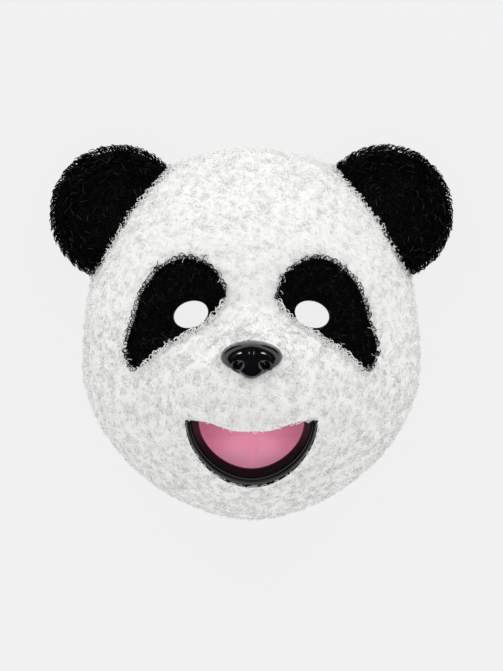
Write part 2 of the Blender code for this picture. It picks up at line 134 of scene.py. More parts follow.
# %% [markdown]
# ## Materials
# Each finish is a Principled shader with its pattern worked out from Object coordinates. Three effects
# are used more than once, so each is a node group: the uneven dye of cloth, the small fuzz between the
# curls, and the faint waviness of a moulded gloss surface.

# %% Node helpers


def new_group(name, inputs, outputs):
    """An empty shader node group. inputs and outputs list (name, kind, default)."""
    group = bpy.data.node_groups.new(name, "ShaderNodeTree")
    for label, kind, default in inputs:
        socket = group.interface.new_socket(name=label, in_out="INPUT", socket_type=kind)
        if default is not None:
            socket.default_value = default
    for label, kind, default in outputs:
        group.interface.new_socket(name=label, in_out="OUTPUT", socket_type=kind)
    return group


def add_node(tree, kind, values=None, links=None, **settings):
    """A node with its settings, its unlinked values and the sockets that feed it."""
    node = tree.nodes.new(kind)
    for key, value in settings.items():
        setattr(node, key, value)
    for key, value in (values or {}).items():
        node.inputs[key].default_value = value
    for key, socket in (links or {}).items():
        tree.links.new(socket, node.inputs[key])
    return node


def math_node(tree, kind, operation, first, second):
    """The result of a node of the kind Math or VectorMath. Its operands are sockets or plain values."""
    node = tree.nodes.new("ShaderNode" + kind)
    node.operation = operation
    for place, operand in enumerate((first, second)):
        if isinstance(operand, bpy.types.NodeSocket):
            tree.links.new(operand, node.inputs[place])
        else:
            node.inputs[place].default_value = operand
    return node.outputs[0]


def new_material(name, colour, roughness, values=None):
    """A Principled material. Returns it with its tree and its shader."""
    material = bpy.data.materials.new(name)
    material.use_nodes = True
    tree = material.node_tree
    shader = tree.nodes["Principled BSDF"]
    shader.inputs["Base Color"].default_value = (*colour, 1.0)
    shader.inputs["Roughness"].default_value = roughness
    for key, value in (values or {}).items():
        shader.inputs[key].default_value = value
    return material, tree, shader


# %% Shared effects


def uneven_dye():
    """Group: a colour that wanders between two, by noise of a given size."""
    inputs = [("Light", "NodeSocketColor", (1, 1, 1, 1)), ("Dark", "NodeSocketColor", (0, 0, 0, 1))]
    inputs += [("Scale", "NodeSocketFloat", 60.0), ("Place", "NodeSocketVector", None)]
    group = new_group("uneven dye", inputs, [("Colour", "NodeSocketColor", None)])
    source = add_node(group, "NodeGroupInput")
    noise = add_node(group, "ShaderNodeTexNoise", {"Detail": 3.0, "Roughness": 0.6})
    group.links.new(source.outputs["Place"], noise.inputs["Vector"])
    group.links.new(source.outputs["Scale"], noise.inputs["Scale"])
    noise_links = {"Value": noise.outputs["Fac"]}
    spread = add_node(group, "ShaderNodeMapRange", {"From Min": 0.3, "From Max": 0.7}, noise_links)
    mix = add_node(group, "ShaderNodeMix", data_type="RGBA")
    group.links.new(spread.outputs["Result"], mix.inputs["Factor"])
    group.links.new(source.outputs["Dark"], mix.inputs[6])
    group.links.new(source.outputs["Light"], mix.inputs[7])
    out = add_node(group, "NodeGroupOutput")
    group.links.new(mix.outputs[2], out.inputs["Colour"])
    return group


def curly_fuzz():
    """Group: a bump of small rings and fibres. The rings are the distance to the nearest of many points,
    folded back and forth, and noise bends them."""
    inputs = [("Ring Scale", "NodeSocketFloat", 260.0), ("Depth", "NodeSocketFloat", 0.001)]
    inputs += [("Place", "NodeSocketVector", None)]
    outputs = [("Normal", "NodeSocketVector", None), ("Height", "NodeSocketFloat", None)]
    group = new_group("curly fuzz", inputs, outputs)
    source = add_node(group, "NodeGroupInput")
    place, depth = source.outputs["Place"], source.outputs["Depth"]
    bend = add_node(group, "ShaderNodeTexNoise", {"Scale": 420.0, "Detail": 2.0}, {"Vector": place})
    sway = math_node(group, "VectorMath", "MULTIPLY", bend.outputs["Color"], (0.0016, 0.0016, 0.0016))
    bent = math_node(group, "VectorMath", "ADD", place, sway)
    ring_links = {"Vector": bent, "Scale": source.outputs["Ring Scale"]}
    rings = add_node(group, "ShaderNodeTexVoronoi", None, ring_links)
    folded = math_node(group, "Math", "PINGPONG", rings.outputs["Distance"], 0.22)
    bump = add_node(group, "ShaderNodeBump", {"Strength": 1.0}, {"Height": folded, "Distance": depth})
    out = add_node(group, "NodeGroupOutput")
    group.links.new(bump.outputs["Normal"], out.inputs["Normal"])
    group.links.new(folded, out.inputs["Height"])
    return group


def moulded_waviness():
    """Group: the faint waves and the uneven gloss that a moulding keeps from its tool."""
    inputs = [("Gloss", "NodeSocketFloat", 0.1), ("Depth", "NodeSocketFloat", 0.0001)]
    inputs += [("Place", "NodeSocketVector", None)]
    outputs = [("Normal", "NodeSocketVector", None), ("Roughness", "NodeSocketFloat", None)]
    group = new_group("moulded waviness", inputs, outputs)
    source = add_node(group, "NodeGroupInput")
    place, depth = source.outputs["Place"], source.outputs["Depth"]
    waves = add_node(group, "ShaderNodeTexNoise", {"Scale": 90.0, "Detail": 1.0}, {"Vector": place})
    wave_links = {"Height": waves.outputs["Fac"], "Distance": depth}
    bump = add_node(group, "ShaderNodeBump", {"Strength": 1.0}, wave_links)
    smear = add_node(group, "ShaderNodeTexNoise", {"Scale": 240.0, "Detail": 4.0}, {"Vector": place})
    spread = math_node(group, "Math", "MULTIPLY", smear.outputs["Fac"], 0.10)
    rough = math_node(group, "Math", "ADD", source.outputs["Gloss"], spread)
    out = add_node(group, "NodeGroupOutput")
    group.links.new(bump.outputs["Normal"], out.inputs["Normal"])
    group.links.new(rough, out.inputs["Roughness"])
    return group


DYE = uneven_dye()
FUZZ = curly_fuzz()
WAVES = moulded_waviness()


def place_group(tree, group, values):
    """A group node that reads Object coordinates, with its values."""
    where = add_node(tree, "ShaderNodeTexCoord")
    node = add_node(tree, "ShaderNodeGroup", node_tree=group)
    tree.links.new(where.outputs["Object"], node.inputs["Place"])
    for key, value in values.items():
        node.inputs[key].default_value = value
    return node


# %% Plush finishes


def plush_material(name, fibre, light, dark, values):
    """Cloth under the curls: uneven dye, lighter fibres in small rings, and a bump that follows them."""
    material, tree, shader = new_material(name, light, 0.95, values)
    dye = place_group(tree, DYE, {"Light": (*light, 1), "Dark": (*dark, 1), "Scale": 140.0})
    fuzz = place_group(tree, FUZZ, {"Ring Scale": 430.0, "Depth": 0.8 * MM})
    fuzz_links = {"Value": fuzz.outputs["Height"]}
    crest = add_node(tree, "ShaderNodeMapRange", {"From Min": 0.12, "From Max": 0.21}, fuzz_links)
    mix = add_node(tree, "ShaderNodeMix", data_type="RGBA")
    tree.links.new(crest.outputs["Result"], mix.inputs["Factor"])
    tree.links.new(dye.outputs["Colour"], mix.inputs[6])
    mix.inputs[7].default_value = (*fibre, 1)
    tree.links.new(mix.outputs[2], shader.inputs["Base Color"])
    tree.links.new(fuzz.outputs["Normal"], shader.inputs["Normal"])
    return material


def curl_material(name, tip, root, values):
    """The curls themselves: each is darker at its root, which paints the shade among the roots, and no two
    are alike, by an attribute per point that also paints the glints of the black curls.
    """
    material, tree, shader = new_material(name, tip, values.pop("Roughness"), values)
    tone_and_painted_light = add_node(tree, "ShaderNodeAttribute", attribute_name="tone_and_painted_light")
    mix = add_node(tree, "ShaderNodeMix", data_type="RGBA")
    tree.links.new(tone_and_painted_light.outputs["Fac"], mix.inputs["Factor"])
    mix.inputs[6].default_value = (*root, 1)
    mix.inputs[7].default_value = (*tip, 1)
    tree.links.new(mix.outputs[2], shader.inputs["Base Color"])
    return material


white_cloth = plush_material(
    "white plush cloth",
    fibre=(0.96, 0.96, 0.95),
    light=(0.94, 0.94, 0.93),
    dark=(0.89, 0.89, 0.88),
    values={"Specular IOR Level": 0.1},
)
black_cloth = plush_material(
    "black plush cloth",
    fibre=(0.007, 0.007, 0.007),
    light=(0.002, 0.002, 0.002),
    dark=(0.001, 0.001, 0.001),
    values={"Specular IOR Level": 0.03},
)
# The root colours paint the shade among the curls' roots. The white tip colour is the plush's own; the black
# tip colour is lighter than black plush and paints the glints of the few black curls that catch the light.
white_curl = curl_material(
    "white curls",
    tip=(0.96, 0.96, 0.95),
    root=(0.66, 0.66, 0.65),
    values={"Roughness": 0.8, "Specular IOR Level": 0.1},
)
black_curl = curl_material(
    "black curls",
    tip=(0.038, 0.038, 0.038),
    root=(0.001, 0.001, 0.001),
    values={"Roughness": 0.5, "Specular IOR Level": 0.05},
)

# %% Moulded finishes


def gloss_material(name, colour, gloss, depth, values):
    """A moulded gloss surface."""
    material, tree, shader = new_material(name, colour, gloss, values)
    waves = place_group(tree, WAVES, {"Gloss": gloss, "Depth": depth})
    tree.links.new(waves.outputs["Normal"], shader.inputs["Normal"])
    tree.links.new(waves.outputs["Roughness"], shader.inputs["Roughness"])
    return material


def painted_shade_at_the_edge(material, middle, reach, light, deep):
    """Paints shade into a material: its colour goes from light in its middle to deep at its edge, by how far
    a place lies from the middle in shares of its reach along X and Y."""
    tree = material.node_tree
    where = add_node(tree, "ShaderNodeTexCoord")
    away = math_node(tree, "VectorMath", "SUBTRACT", where.outputs["Object"], (*middle, 0.0))
    scaled = math_node(tree, "VectorMath", "MULTIPLY", away, (1 / reach[0], 1 / reach[1], 0.0))
    share = add_node(tree, "ShaderNodeVectorMath", None, {0: scaled}, operation="LENGTH")
    share_links = {"Value": share.outputs["Value"]}
    # Painted shade: past about half the reach the colour darkens from light to deep
    deeper = add_node(tree, "ShaderNodeMapRange", {"From Min": 0.45, "From Max": 1.05}, share_links)
    dye = add_node(tree, "ShaderNodeMix", {6: (*light, 1), 7: (*deep, 1)}, data_type="RGBA")
    tree.links.new(deeper.outputs["Result"], dye.inputs["Factor"])
    tree.links.new(dye.outputs[2], tree.nodes["Principled BSDF"].inputs["Base Color"])


WAVE_DEPTH = 0.02 * MM
LIP_BLACK = (0.003, 0.003, 0.003)
NOSE_BLACK = (0.004, 0.004, 0.005)
lip_gloss = gloss_material("black lip gloss", LIP_BLACK, 0.12, WAVE_DEPTH, {"Specular IOR Level": 0.12})
black_gloss = gloss_material("black gloss", NOSE_BLACK, 0.06, WAVE_DEPTH, {"Specular IOR Level": 0.7})
# The emission below paints a glow into the pink: light that the deep mouth would not get
# Middle and reach of the pink's painted shade, which darkens it towards its edge
PINK_MIDDLE = (0.0, -0.0705)
PINK_REACH = (0.034, 0.0235)
painted_glow = {"Specular IOR Level": 0.5, "Emission Color": (0.95, 0.36, 0.52, 1.0), "Emission Strength": 0.24}
pink_satin = gloss_material("pink satin", (0.95, 0.40, 0.57), 0.40, 0.04 * MM, painted_glow)
painted_shade_at_the_edge(pink_satin, PINK_MIDDLE, PINK_REACH, (0.95, 0.42, 0.59), (0.46, 0.09, 0.19))
shell_matt = gloss_material("moulded shell", (0.80, 0.79, 0.76), 0.45, 0.20 * MM, {})
floor_material, _, floor_shader = new_material("floor", (FLOOR_COLOUR,) * 3, 0.9)
floor_shader.inputs["Specular IOR Level"].default_value = 0.0
floor_shader.inputs["Emission Color"].default_value = (1.0, 1.0, 1.0, 1.0)
floor_shader.inputs["Emission Strength"].default_value = FLOOR_GLOW
floor_mesh.materials.append(floor_material)

# %% [markdown]
# ## The form of the face
# The shell and the plush follow one surface: a dome on a superellipse outline, with soft swellings for
# the forehead, muzzle, jaw and cheeks. These are the sizes that the frame was built to, so what is made
# from them lies where the frame's own parts lie.

# %% Face surface
HALF_WIDTH = 0.0932
WIDEST_Y = -0.0213
CROWN_RISE = 0.1254
CROWN_POWER = 2.37
CHIN_DROP = 0.0828
CHIN_POWER = 1.77
DOME_HEIGHT = 0.068
DOME_POWER = 2.4
RIM_FADE = 6
RIM_PILE = 0.0065  # how much deeper the pile stands at the rim, where it fans out
RIM_PILE_POWER = 5
QUARTER = math.pi / 2
# Each soft form: name, x, y, half width, half height, lift, power
FORMS = (
    ("forehead", 0.0, 0.056, 0.060, 0.040, 0.010, 2.4),
    ("muzzle", 0.0, -0.033, 0.046, 0.033, 0.030, 3.0),
    ("jaw", 0.0, -0.086, 0.034, 0.026, 0.018, 2.0),
    ("cheek", 0.060, -0.036, 0.026, 0.030, 0.007, 2.0),
    ("eye socket", 0.036, 0.010, 0.020, 0.018, -0.006, 2.0),
    ("nose bridge", 0.0, 0.008, 0.013, 0.024, 0.004, 2.0),
)


def smooth_step(share):
    """0 below 0 and 1 above 1, with a smooth rise between them."""
    share = np.clip(share, 0.0, 1.0)
    return share * share * (3 - 2 * share)


def share_across(x, y):
    """0 in the middle of the face and 1 on its outline, along a superellipse through x and y."""
    above = y >= WIDEST_Y
    reach = np.where(above, CROWN_RISE, CHIN_DROP)
    power = np.where(above, CROWN_POWER, CHIN_POWER)
    return ((np.abs(x) / HALF_WIDTH) ** power + (np.abs(y - WIDEST_Y) / reach) ** power) ** (1 / power)


def swell(x, y):
    """Height that the soft forms add: a bell for each, faded out at the rim."""
    total = np.zeros_like(x)
    for _, middle_x, middle_y, wide, tall, lift, power in FORMS:
        across = np.abs(np.abs(x) - middle_x) / wide
        along = np.abs(y - middle_y) / tall
        total = total + lift * np.exp(-(across**power) - along**power)
    return total * (1 - np.minimum(share_across(x, y), 1.0) ** RIM_FADE)


def face_height(x, y):
    """Height of the shell's outer face over x and y."""
    across = np.minimum(share_across(x, y), 1.0)
    return DOME_HEIGHT * (1 - across**DOME_POWER) ** (1 / DOME_POWER) + swell(x, y)


def face_point(turn, rise):
    """Points of the shell's outer face. turn goes round it, and rise runs from its middle to its rim."""
    above = np.sin(turn) >= 0
    reach = np.where(above, CROWN_RISE, CHIN_DROP)
    power = 2 / np.where(above, CROWN_POWER, CHIN_POWER)
    across = np.sin(rise) ** (2 / DOME_POWER)
    x = across * HALF_WIDTH * np.sign(np.cos(turn)) * np.abs(np.cos(turn)) ** power
    y = WIDEST_Y + across * reach * np.sign(np.sin(turn)) * np.abs(np.sin(turn)) ** power
    z = DOME_HEIGHT * np.maximum(np.cos(rise), 0.0) ** (2 / DOME_POWER) + swell(x, y)
    return np.stack([x, y, z], axis=-1)


def face_normal(points):
    """Outward directions at points of the shell's outer face: the slope of its equation along each axis."""
    step = 0.0002
    slopes = []
    for axis in np.eye(3) * step:
        sides = []
        for x, y, z in (np.moveaxis(points + axis, -1, 0), np.moveaxis(points - axis, -1, 0)):
            dome = np.abs(z - swell(x, y)) / DOME_HEIGHT
            sides.append(share_across(x, y) ** DOME_POWER + dome**DOME_POWER)
        slopes.append(sides[0] - sides[1])
    slopes = np.stack(slopes, axis=-1)
    return slopes / np.linalg.norm(slopes, axis=-1, keepdims=True)


def lumps(points, size, seed):
    """Smooth unevenness from about -1 to 1: a sum of waves in many directions, about size metres long."""
    rng = np.random.default_rng(seed)
    total = np.zeros(points.shape[:-1])
    for _ in range(9):
        way = rng.normal(size=3)
        way *= math.tau / (np.linalg.norm(way) * size * rng.uniform(0.7, 1.4))
        total += np.sin(points @ way + rng.uniform(0, math.tau))
    return total / 3


# %% Mesh helpers


def volume(points, quads, tris):
    """Volume inside a closed mesh: the sum of the tetrahedra from the origin to each triangle. It is below
    zero if the faces point inward."""
    corners = np.concatenate([quads[:, [0, 1, 2]], quads[:, [0, 2, 3]], tris])
    first, second, third = (points[corners[:, i]] for i in range(3))
    return float(np.einsum("ij,ij->i", first, np.cross(second, third)).sum() / 6)


def new_piece(name, points, quads, tris, material, tone_and_painted_light=None):
    """A mesh from arrays: points, faces with four corners and faces with three. It is smooth, but a piece
    with a colour attribute per point, which is made of thin tubes, has flat sides. That attribute holds tone
    and painted light."""
    mesh = bpy.data.meshes.new(name)
    quads = np.asarray(quads, dtype=np.int32).reshape(-1, 4)
    tris = np.asarray(tris, dtype=np.int32).reshape(-1, 3)
    loops = np.concatenate([quads.ravel(), tris.ravel()])
    sizes = np.concatenate([np.full(len(quads), 4), np.full(len(tris), 3)])
    starts = np.concatenate([[0], np.cumsum(sizes)[:-1]]).astype(np.int32)
    mesh.vertices.add(len(points))
    mesh.vertices.foreach_set("co", np.asarray(points, dtype=np.float32).ravel())
    mesh.loops.add(len(loops))
    mesh.loops.foreach_set("vertex_index", loops)
    mesh.polygons.add(len(sizes))
    mesh.polygons.foreach_set("loop_start", starts)
    mesh.polygons.foreach_set("use_smooth", np.full(len(sizes), tone_and_painted_light is None))
    mesh.update(calc_edges=True)
    if tone_and_painted_light is not None:
        mesh.attributes.new("tone_and_painted_light", "FLOAT", "POINT").data.foreach_set("value", tone_and_painted_light.astype(np.float32))
    if material:
        mesh.materials.append(material)
    piece = bpy.data.objects.new(name, mesh)
    scene.collection.objects.link(piece)
    print(f"{name}: {len(quads) * 2 + len(tris)} triangles, {volume(points, quads, tris) * 1e6:.2f} cm3")
    return piece


def grid_quads(rows, columns, around=True):
    """Four-sided faces of a grid, row after row. One that goes around joins its last column to its first."""
    row = np.arange(rows - 1)[:, None]
    column = np.arange(columns if around else columns - 1)[None, :]
    after = (column + 1) % columns
    near, far = row * columns, (row + 1) * columns
    return np.stack([near + column, far + column, far + after, near + after], axis=-1).reshape(-1, 4)


def capped_rings(name, rings, first, last, material):
    """A closed piece from rings of points (rows, columns, 3), closed to one point at each end."""
    rows, columns = rings.shape[:2]
    points = np.concatenate([rings.reshape(-1, 3), [first, last]])
    column = np.arange(columns)
    after = (column + 1) % columns
    start = np.full(columns, rows * columns)
    base = (rows - 1) * columns
    tris = [np.stack([start, column, after], axis=-1)]
    tris.append(np.stack([start + 1, base + after, base + column], axis=-1))
    return new_piece(name, points, grid_quads(rows, columns), np.concatenate(tris), material)


# %% [markdown]
# ## The shell and the plush cloth
# Both are walls that follow the face at two distances from it. The outer face runs out to the rim, turns,
# and runs back in as the inner face, so one grid of rings closes the whole wall. Openings are then cut
# with upright prisms, which keeps their edges crisp.

# %% Wall and openings


def rise_at(height):
    """The rise at which the plain dome has a height."""
    return math.acos((height / DOME_HEIGHT) ** (DOME_POWER / 2))


def fan_out(rise):
    """How much deeper the pile stands at a rise: nothing in the middle of the face, RIM_PILE at the rim."""
    return RIM_PILE * np.sin(rise) ** RIM_PILE_POWER


def face_wall(name, inner, outer, hem, unevenness, material, fan=0.0, rows=46, columns=184):
    """A wall between the distances inner and outer from the face, with its rim at the height hem. fan is the
    share of the rim's deeper pile that it follows."""
    turn = np.linspace(0, math.tau, columns, endpoint=False)[None, :]
    rise = np.linspace(0, rise_at(hem), rows + 1)[1:, None]
    points = face_point(turn, np.broadcast_to(rise, (rows, columns)))
    normals = face_normal(points)
    bumps = unevenness * lumps(points, 7 * MM, 5)[..., None]
    deeper = fan * fan_out(rise)[..., None]
    sheets = [points + normals * (outer + deeper + bumps), (points + normals * inner)[::-1]]
    pole = np.array([0.0, WIDEST_Y, face_height(np.array(0.0), np.array(WIDEST_Y))])
    upward = np.array([0.0, 0.0, 1.0])
    return capped_rings(name, np.concatenate(sheets), pole + upward * outer, pole + upward * inner, material)


def prism(name, outline):
    """A tall upright prism on a closed outline of (x, y), used to cut and then removed."""
    count = len(outline)
    low = np.column_stack([outline, np.full(count, -0.05)])
    high = np.column_stack([outline, np.full(count, 0.20)])
    index = np.arange(count)
    after = (index + 1) % count
    sides = np.stack([index, after, after + count, index + count], axis=-1)
    mesh = bpy.data.meshes.new(name)
    faces = [tuple(face) for face in sides.tolist()]
    faces += [tuple(range(count - 1, -1, -1)), tuple(range(count, 2 * count))]
    mesh.from_pydata(np.concatenate([low, high]).tolist(), [], faces)
    cutter = bpy.data.objects.new(name, mesh)
    scene.collection.objects.link(cutter)
    return cutter


def bake(piece):
    """Replaces a piece's mesh by what its modifiers make of it."""
    graph = bpy.context.evaluated_depsgraph_get()
    mesh = bpy.data.meshes.new_from_object(piece.evaluated_get(graph))
    piece.modifiers.clear()
    old, piece.data = piece.data, mesh
    bpy.data.meshes.remove(old)


def cut(piece, outlines, operation="DIFFERENCE"):
    """Cuts a piece with a prism on each outline, or keeps only what lies inside it."""
    for outline in outlines:
        cutter = prism("cutter", outline)
        modifier = piece.modifiers.new("cut", "BOOLEAN")
        modifier.operation = operation
        modifier.object = cutter
        bake(piece)
        bpy.data.objects.remove(cutter)
    piece.data.shade_smooth()
    piece.data.set_sharp_from_angle(angle=math.radians(50))


def closed_curve(points, steps):
    """A smooth closed curve through points: cubics that leave each along the line between its neighbours."""
    points = np.asarray(points)
    before, here = np.roll(points, 1, axis=0), points
    after, beyond = np.roll(points, -1, axis=0), np.roll(points, -2, axis=0)
    t = np.linspace(0, 1, steps, endpoint=False)[None, :, None]
    before, here, after, beyond = (a[:, None, :] for a in (before, here, after, beyond))
    curve = 2 * here + (after - before) * t
    curve = curve + (2 * before - 5 * here + 4 * after - beyond) * t**2
    curve = curve + (3 * here - before - 3 * after + beyond) * t**3
    return (curve / 2).reshape(-1, points.shape[1])


def anticlockwise(outline):
    """The outline, turned round if it runs clockwise."""
    x, y = outline.T
    area = np.sum(x * np.roll(y, -1) - np.roll(x, -1) * y)
    return outline if area > 0 else outline[::-1]


# %% Outlines of the openings
GAP = 0.3 * MM
SIDES = (("left", -1), ("right", 1))
EYE_X = 0.0356
EYE_Y = 0.0115
EYE_HALF_LONG = 0.0102
EYE_HALF_SHORT = 0.0074
EYE_SLANT = math.radians(16)
PATCH_POINTS = (
    (-0.0378, 0.0440),
    (-0.0222, 0.0372),
    (-0.0152, 0.0234),
    (-0.0205, 0.0116),
    (-0.0385, -0.0010),
    (-0.0530, -0.0100),
    (-0.0670, -0.0204),
    (-0.0742, -0.0100),
    (-0.0694, 0.0090),
    (-0.0634, 0.0268),
    (-0.0524, 0.0392),
)
MOUTH_Y = -0.0500
MOUTH_POWER = 1.95
LIP_OUTER = (0.0373, 0.0391)
LIP_RIDGE = (0.0342, 0.0330)
LIP_INNER = (0.0298, 0.0278)
SHELL_MOUTH = (0.0332, 0.0337)
LINING_EDGE = (0.0364, 0.0368)
PLUSH_TOP = 0.0010  # how far the plush's opening reaches above the mouth's corners
PLUSH_SAG = 0.0055
SAG_START = 0.78
SAG_RUN = 0.6


def eye_outline(side, grow=0.0):
    """The slanted oval of one eye hole, widened by grow."""
    angle = np.linspace(0, math.tau, 64, endpoint=False)
    long = (EYE_HALF_LONG + grow) * np.cos(angle)
    short = (EYE_HALF_SHORT + grow) * np.sin(angle)
    slant = -side * EYE_SLANT
    x = side * EYE_X + long * math.cos(slant) - short * math.sin(slant)
    y = EYE_Y + long * math.sin(slant) + short * math.cos(slant)
    return np.column_stack([x, y])


def patch_outline(side, grow=0.0):
    """The outline of one eye patch, widened by grow."""
    points = np.array(PATCH_POINTS) * (-side, 1)
    outline = anticlockwise(closed_curve(points, 6))
    along = np.roll(outline, -1, axis=0) - np.roll(outline, 1, axis=0)
    along /= np.linalg.norm(along, axis=1, keepdims=True)
    return outline + grow * np.column_stack([along[:, 1], -along[:, 0]])


def mouth_point(curve, angle):
    """Points on one of the mouth's half superellipses, from the right corner round the bottom to the left."""
    half_width, drop = curve
    x = half_width * np.sign(np.cos(angle)) * np.abs(np.cos(angle)) ** (2 / MOUTH_POWER)
    y = MOUTH_Y - drop * np.abs(np.sin(angle)) ** (2 / MOUTH_POWER)
    return np.stack([x, y], axis=-1)


def upper_edge(share, top, sag):
    """y of the mouth's upper edge at a share of its half width: level at the corners, lower in the middle."""
    return MOUTH_Y + top - sag * smooth_step((SAG_START - np.abs(share)) / SAG_RUN)


def mouth_outline(curve, top, sag, grow=0.0):
    """Closed outline of a mouth opening: the curve below, and the sagging edge above."""
    wider = (curve[0] + grow, curve[1] + grow)
    below = mouth_point(wider, np.linspace(0, math.pi, 80))
    below = below[below[:, 1] < MOUTH_Y + top + grow - GAP / 2]
    share = np.linspace(-1, 1, 34)
    above = np.column_stack([share * abs(below[0, 0]), upper_edge(share, top + grow, sag)])
    return anticlockwise(np.concatenate([below, above]))


NOSE_Y = -0.0138
NOSE_HALF_WIDTH = 0.0174
NOSE_HALF_HEIGHT = 0.0108


def nose_opening():
    """The plain oval that the plush leaves round the nose."""
    angle = np.linspace(0, math.tau, 60, endpoint=False)
    below = np.maximum(-np.sin(angle), 0.0)
    x = (NOSE_HALF_WIDTH - MM) * np.cos(angle) * (1 - 0.38 * below**1.6)
    y = NOSE_Y + (NOSE_HALF_HEIGHT - MM) * np.sin(angle)
    return np.column_stack([x, y])


# %% Outlines and forms that the curls leave room for
EAR_X = 0.0840
EAR_Y = 0.0762
EAR_Z = 0.0170
EAR_RADIUS = 0.0408
EAR_FRONT = 0.0175
EAR_BACK = 0.0130
EAR_POWER = 2.5
NOSE_MIDDLE_Y = NOSE_Y + 1.3 * MM
NOSE_WIDE_HEIGHT = 9.1 * MM


def ear_point(side, turn, rise, inset=0.0):
    """Points of an ear: rise runs from the middle of its front (0) over its edge (90 degrees) to the middle
    of its back (180 degrees), along a superellipse."""
    across = np.sin(rise) ** (2 / EAR_POWER)
    depth = np.sign(np.cos(rise)) * np.abs(np.cos(rise)) ** (2 / EAR_POWER)
    height = np.where(depth > 0, EAR_FRONT - inset, EAR_BACK - inset)
    x = side * EAR_X + (EAR_RADIUS - inset) * across * np.cos(turn)
    y = EAR_Y + (EAR_RADIUS - inset) * across * np.sin(turn)
    return np.stack([x, y, EAR_Z + height * depth], axis=-1)


def ear_share(side, points):
    """0 in the middle of an ear and 1 on its surface, along its superellipse."""
    away = points - np.array([side * EAR_X, EAR_Y, EAR_Z])
    flat = np.hypot(away[..., 0], away[..., 1]) / EAR_RADIUS
    depth = np.abs(away[..., 2]) / np.where(away[..., 2] > 0, EAR_FRONT, EAR_BACK)
    return (flat**EAR_POWER + depth**EAR_POWER) ** (1 / EAR_POWER)


def ear_normal(side, points):
    """Outward directions on an ear: the slope of its share along each axis."""
    slopes = []
    for axis in np.eye(3) * 0.0001:
        slopes.append(ear_share(side, points + axis) - ear_share(side, points - axis))
    slopes = np.stack(slopes, axis=-1)
    return slopes / np.linalg.norm(slopes, axis=-1, keepdims=True)


# %% Shell and cloth
SHELL_THICK = 2.0 * MM
CLOTH_TOP = 7.0 * MM
EYE_TRIM = 0.4 * MM
shell = face_wall("moulded_shell", -SHELL_THICK, 0.0, 0.0002, 0.0, shell_matt)
cut(shell, [eye_outline(-1, EYE_TRIM), eye_outline(1, EYE_TRIM), mouth_outline(SHELL_MOUTH, 0.0, 0.003)])
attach(shell, "root")
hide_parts("face_shell")

cloth = face_wall("plush_cloth", GAP, CLOTH_TOP, 0.002, 0.5 * MM, white_cloth, fan=1.0)
plush_mouth = mouth_outline(LIP_OUTER, PLUSH_TOP, PLUSH_SAG, GAP)
cloth_openings = [patch_outline(-1), patch_outline(1), nose_opening(), plush_mouth]
cut(cloth, cloth_openings)
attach(cloth, "root")
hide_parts("face_plush")

for side_name, side in SIDES:
    patch = face_wall(f"patch_cloth_{side_name}", GAP, CLOTH_TOP, 0.002, 0.5 * MM, black_cloth, fan=1.0)
    cut(patch, [patch_outline(side, -GAP)], "INTERSECT")
    cut(patch, [eye_outline(side, EYE_TRIM)])
    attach(patch, "root")
    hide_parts(f"eye_patch_{side_name}")

# %% [markdown]
# ## Curls
# Real curly plush is a pile of short crimped fibres, each bent into a hook or a ring. Hair particles would
# not leave the scene as geometry, so each curl is a thin closed tube with three sides, worked out for all
# the curls of a piece in one go. A curl leaves its root along one direction, bends round a centre towards a
# second one, and drifts along a third, which makes hooks and rings alike.

# %% Roots spread evenly over the face


def inside(outline, x, y):
    """True where x, y lies inside a closed outline: a line to the right crosses it an odd number of times."""
    hits = np.zeros(x.shape, dtype=bool)
    for (x1, y1), (x2, y2) in zip(outline, np.roll(outline, -1, axis=0)):
        spans = (y1 > y) != (y2 > y)
        reach = x1 + (y - y1) * (x2 - x1) / (y2 - y1 if y2 != y1 else 1.0)
        hits ^= spans & (x < reach)
    return hits


def distance_to(outline, x, y):
    """Distance from each x, y to the nearest point of an outline."""
    away_x = x[:, None] - outline[None, :, 0]
    away_y = y[:, None] - outline[None, :, 1]
    return np.hypot(away_x, away_y).min(axis=1)


def scatter_on_face(spacing, lift, seed, lowest=0.003):
    """Roots at a distance lift from the face, one for each spacing squared of its area. The face is walked
    cell by cell, back and forth, and a root is set down each time enough area has gone by."""
    rng = np.random.default_rng(seed)
    rows, columns = 130, 380
    rise = np.linspace(0, rise_at(lowest), rows + 1)
    turn = np.linspace(0, math.tau, columns + 1)
    grid = face_point(turn[None, :], np.broadcast_to(rise[:, None], (rows + 1, columns + 1)))
    grid = grid + face_normal(grid + 1e-9) * (lift + fan_out(rise))[:, None, None]
    across = grid[1:, :-1] - grid[:-1, :-1]
    along = grid[:-1, 1:] - grid[:-1, :-1]
    area = np.linalg.norm(np.cross(across, along), axis=-1)
    order = np.arange(rows * columns).reshape(rows, columns)
    order[1::2] = order[1::2, ::-1]
    order = order.ravel()
    passed = np.cumsum(area.ravel()[order])
    count = int(passed[-1] / spacing**2)
    marks = (np.arange(count) + rng.uniform(0.1, 0.9, count)) * passed[-1] / count
    cell = order[np.minimum(np.searchsorted(passed, marks), rows * columns - 1)]
    row, column = cell // columns, cell % columns
    root_rise = rise[row] + rng.uniform(size=count) * (rise[row + 1] - rise[row])
    root_turn = turn[column] + rng.uniform(size=count) * (turn[1] - turn[0])
    points = face_point(root_turn, np.maximum(root_rise, 1e-3))
    normals = face_normal(points)
    return points + normals * (lift + fan_out(root_rise))[:, None], normals


# %% Curl tubes


def turned_frames(normals, angle):
    """Two directions along the surface at each root, the first turned by angle."""
    helper = np.where(np.abs(normals[:, :1]) < 0.8, [[1.0, 0.0, 0.0]], [[0.0, 1.0, 0.0]])
    first = np.cross(normals, helper)
    first /= np.linalg.norm(first, axis=1, keepdims=True)
    second = np.cross(normals, first)
    along = first * np.cos(angle)[:, None] + second * np.sin(angle)[:, None]
    return along, np.cross(normals, along)


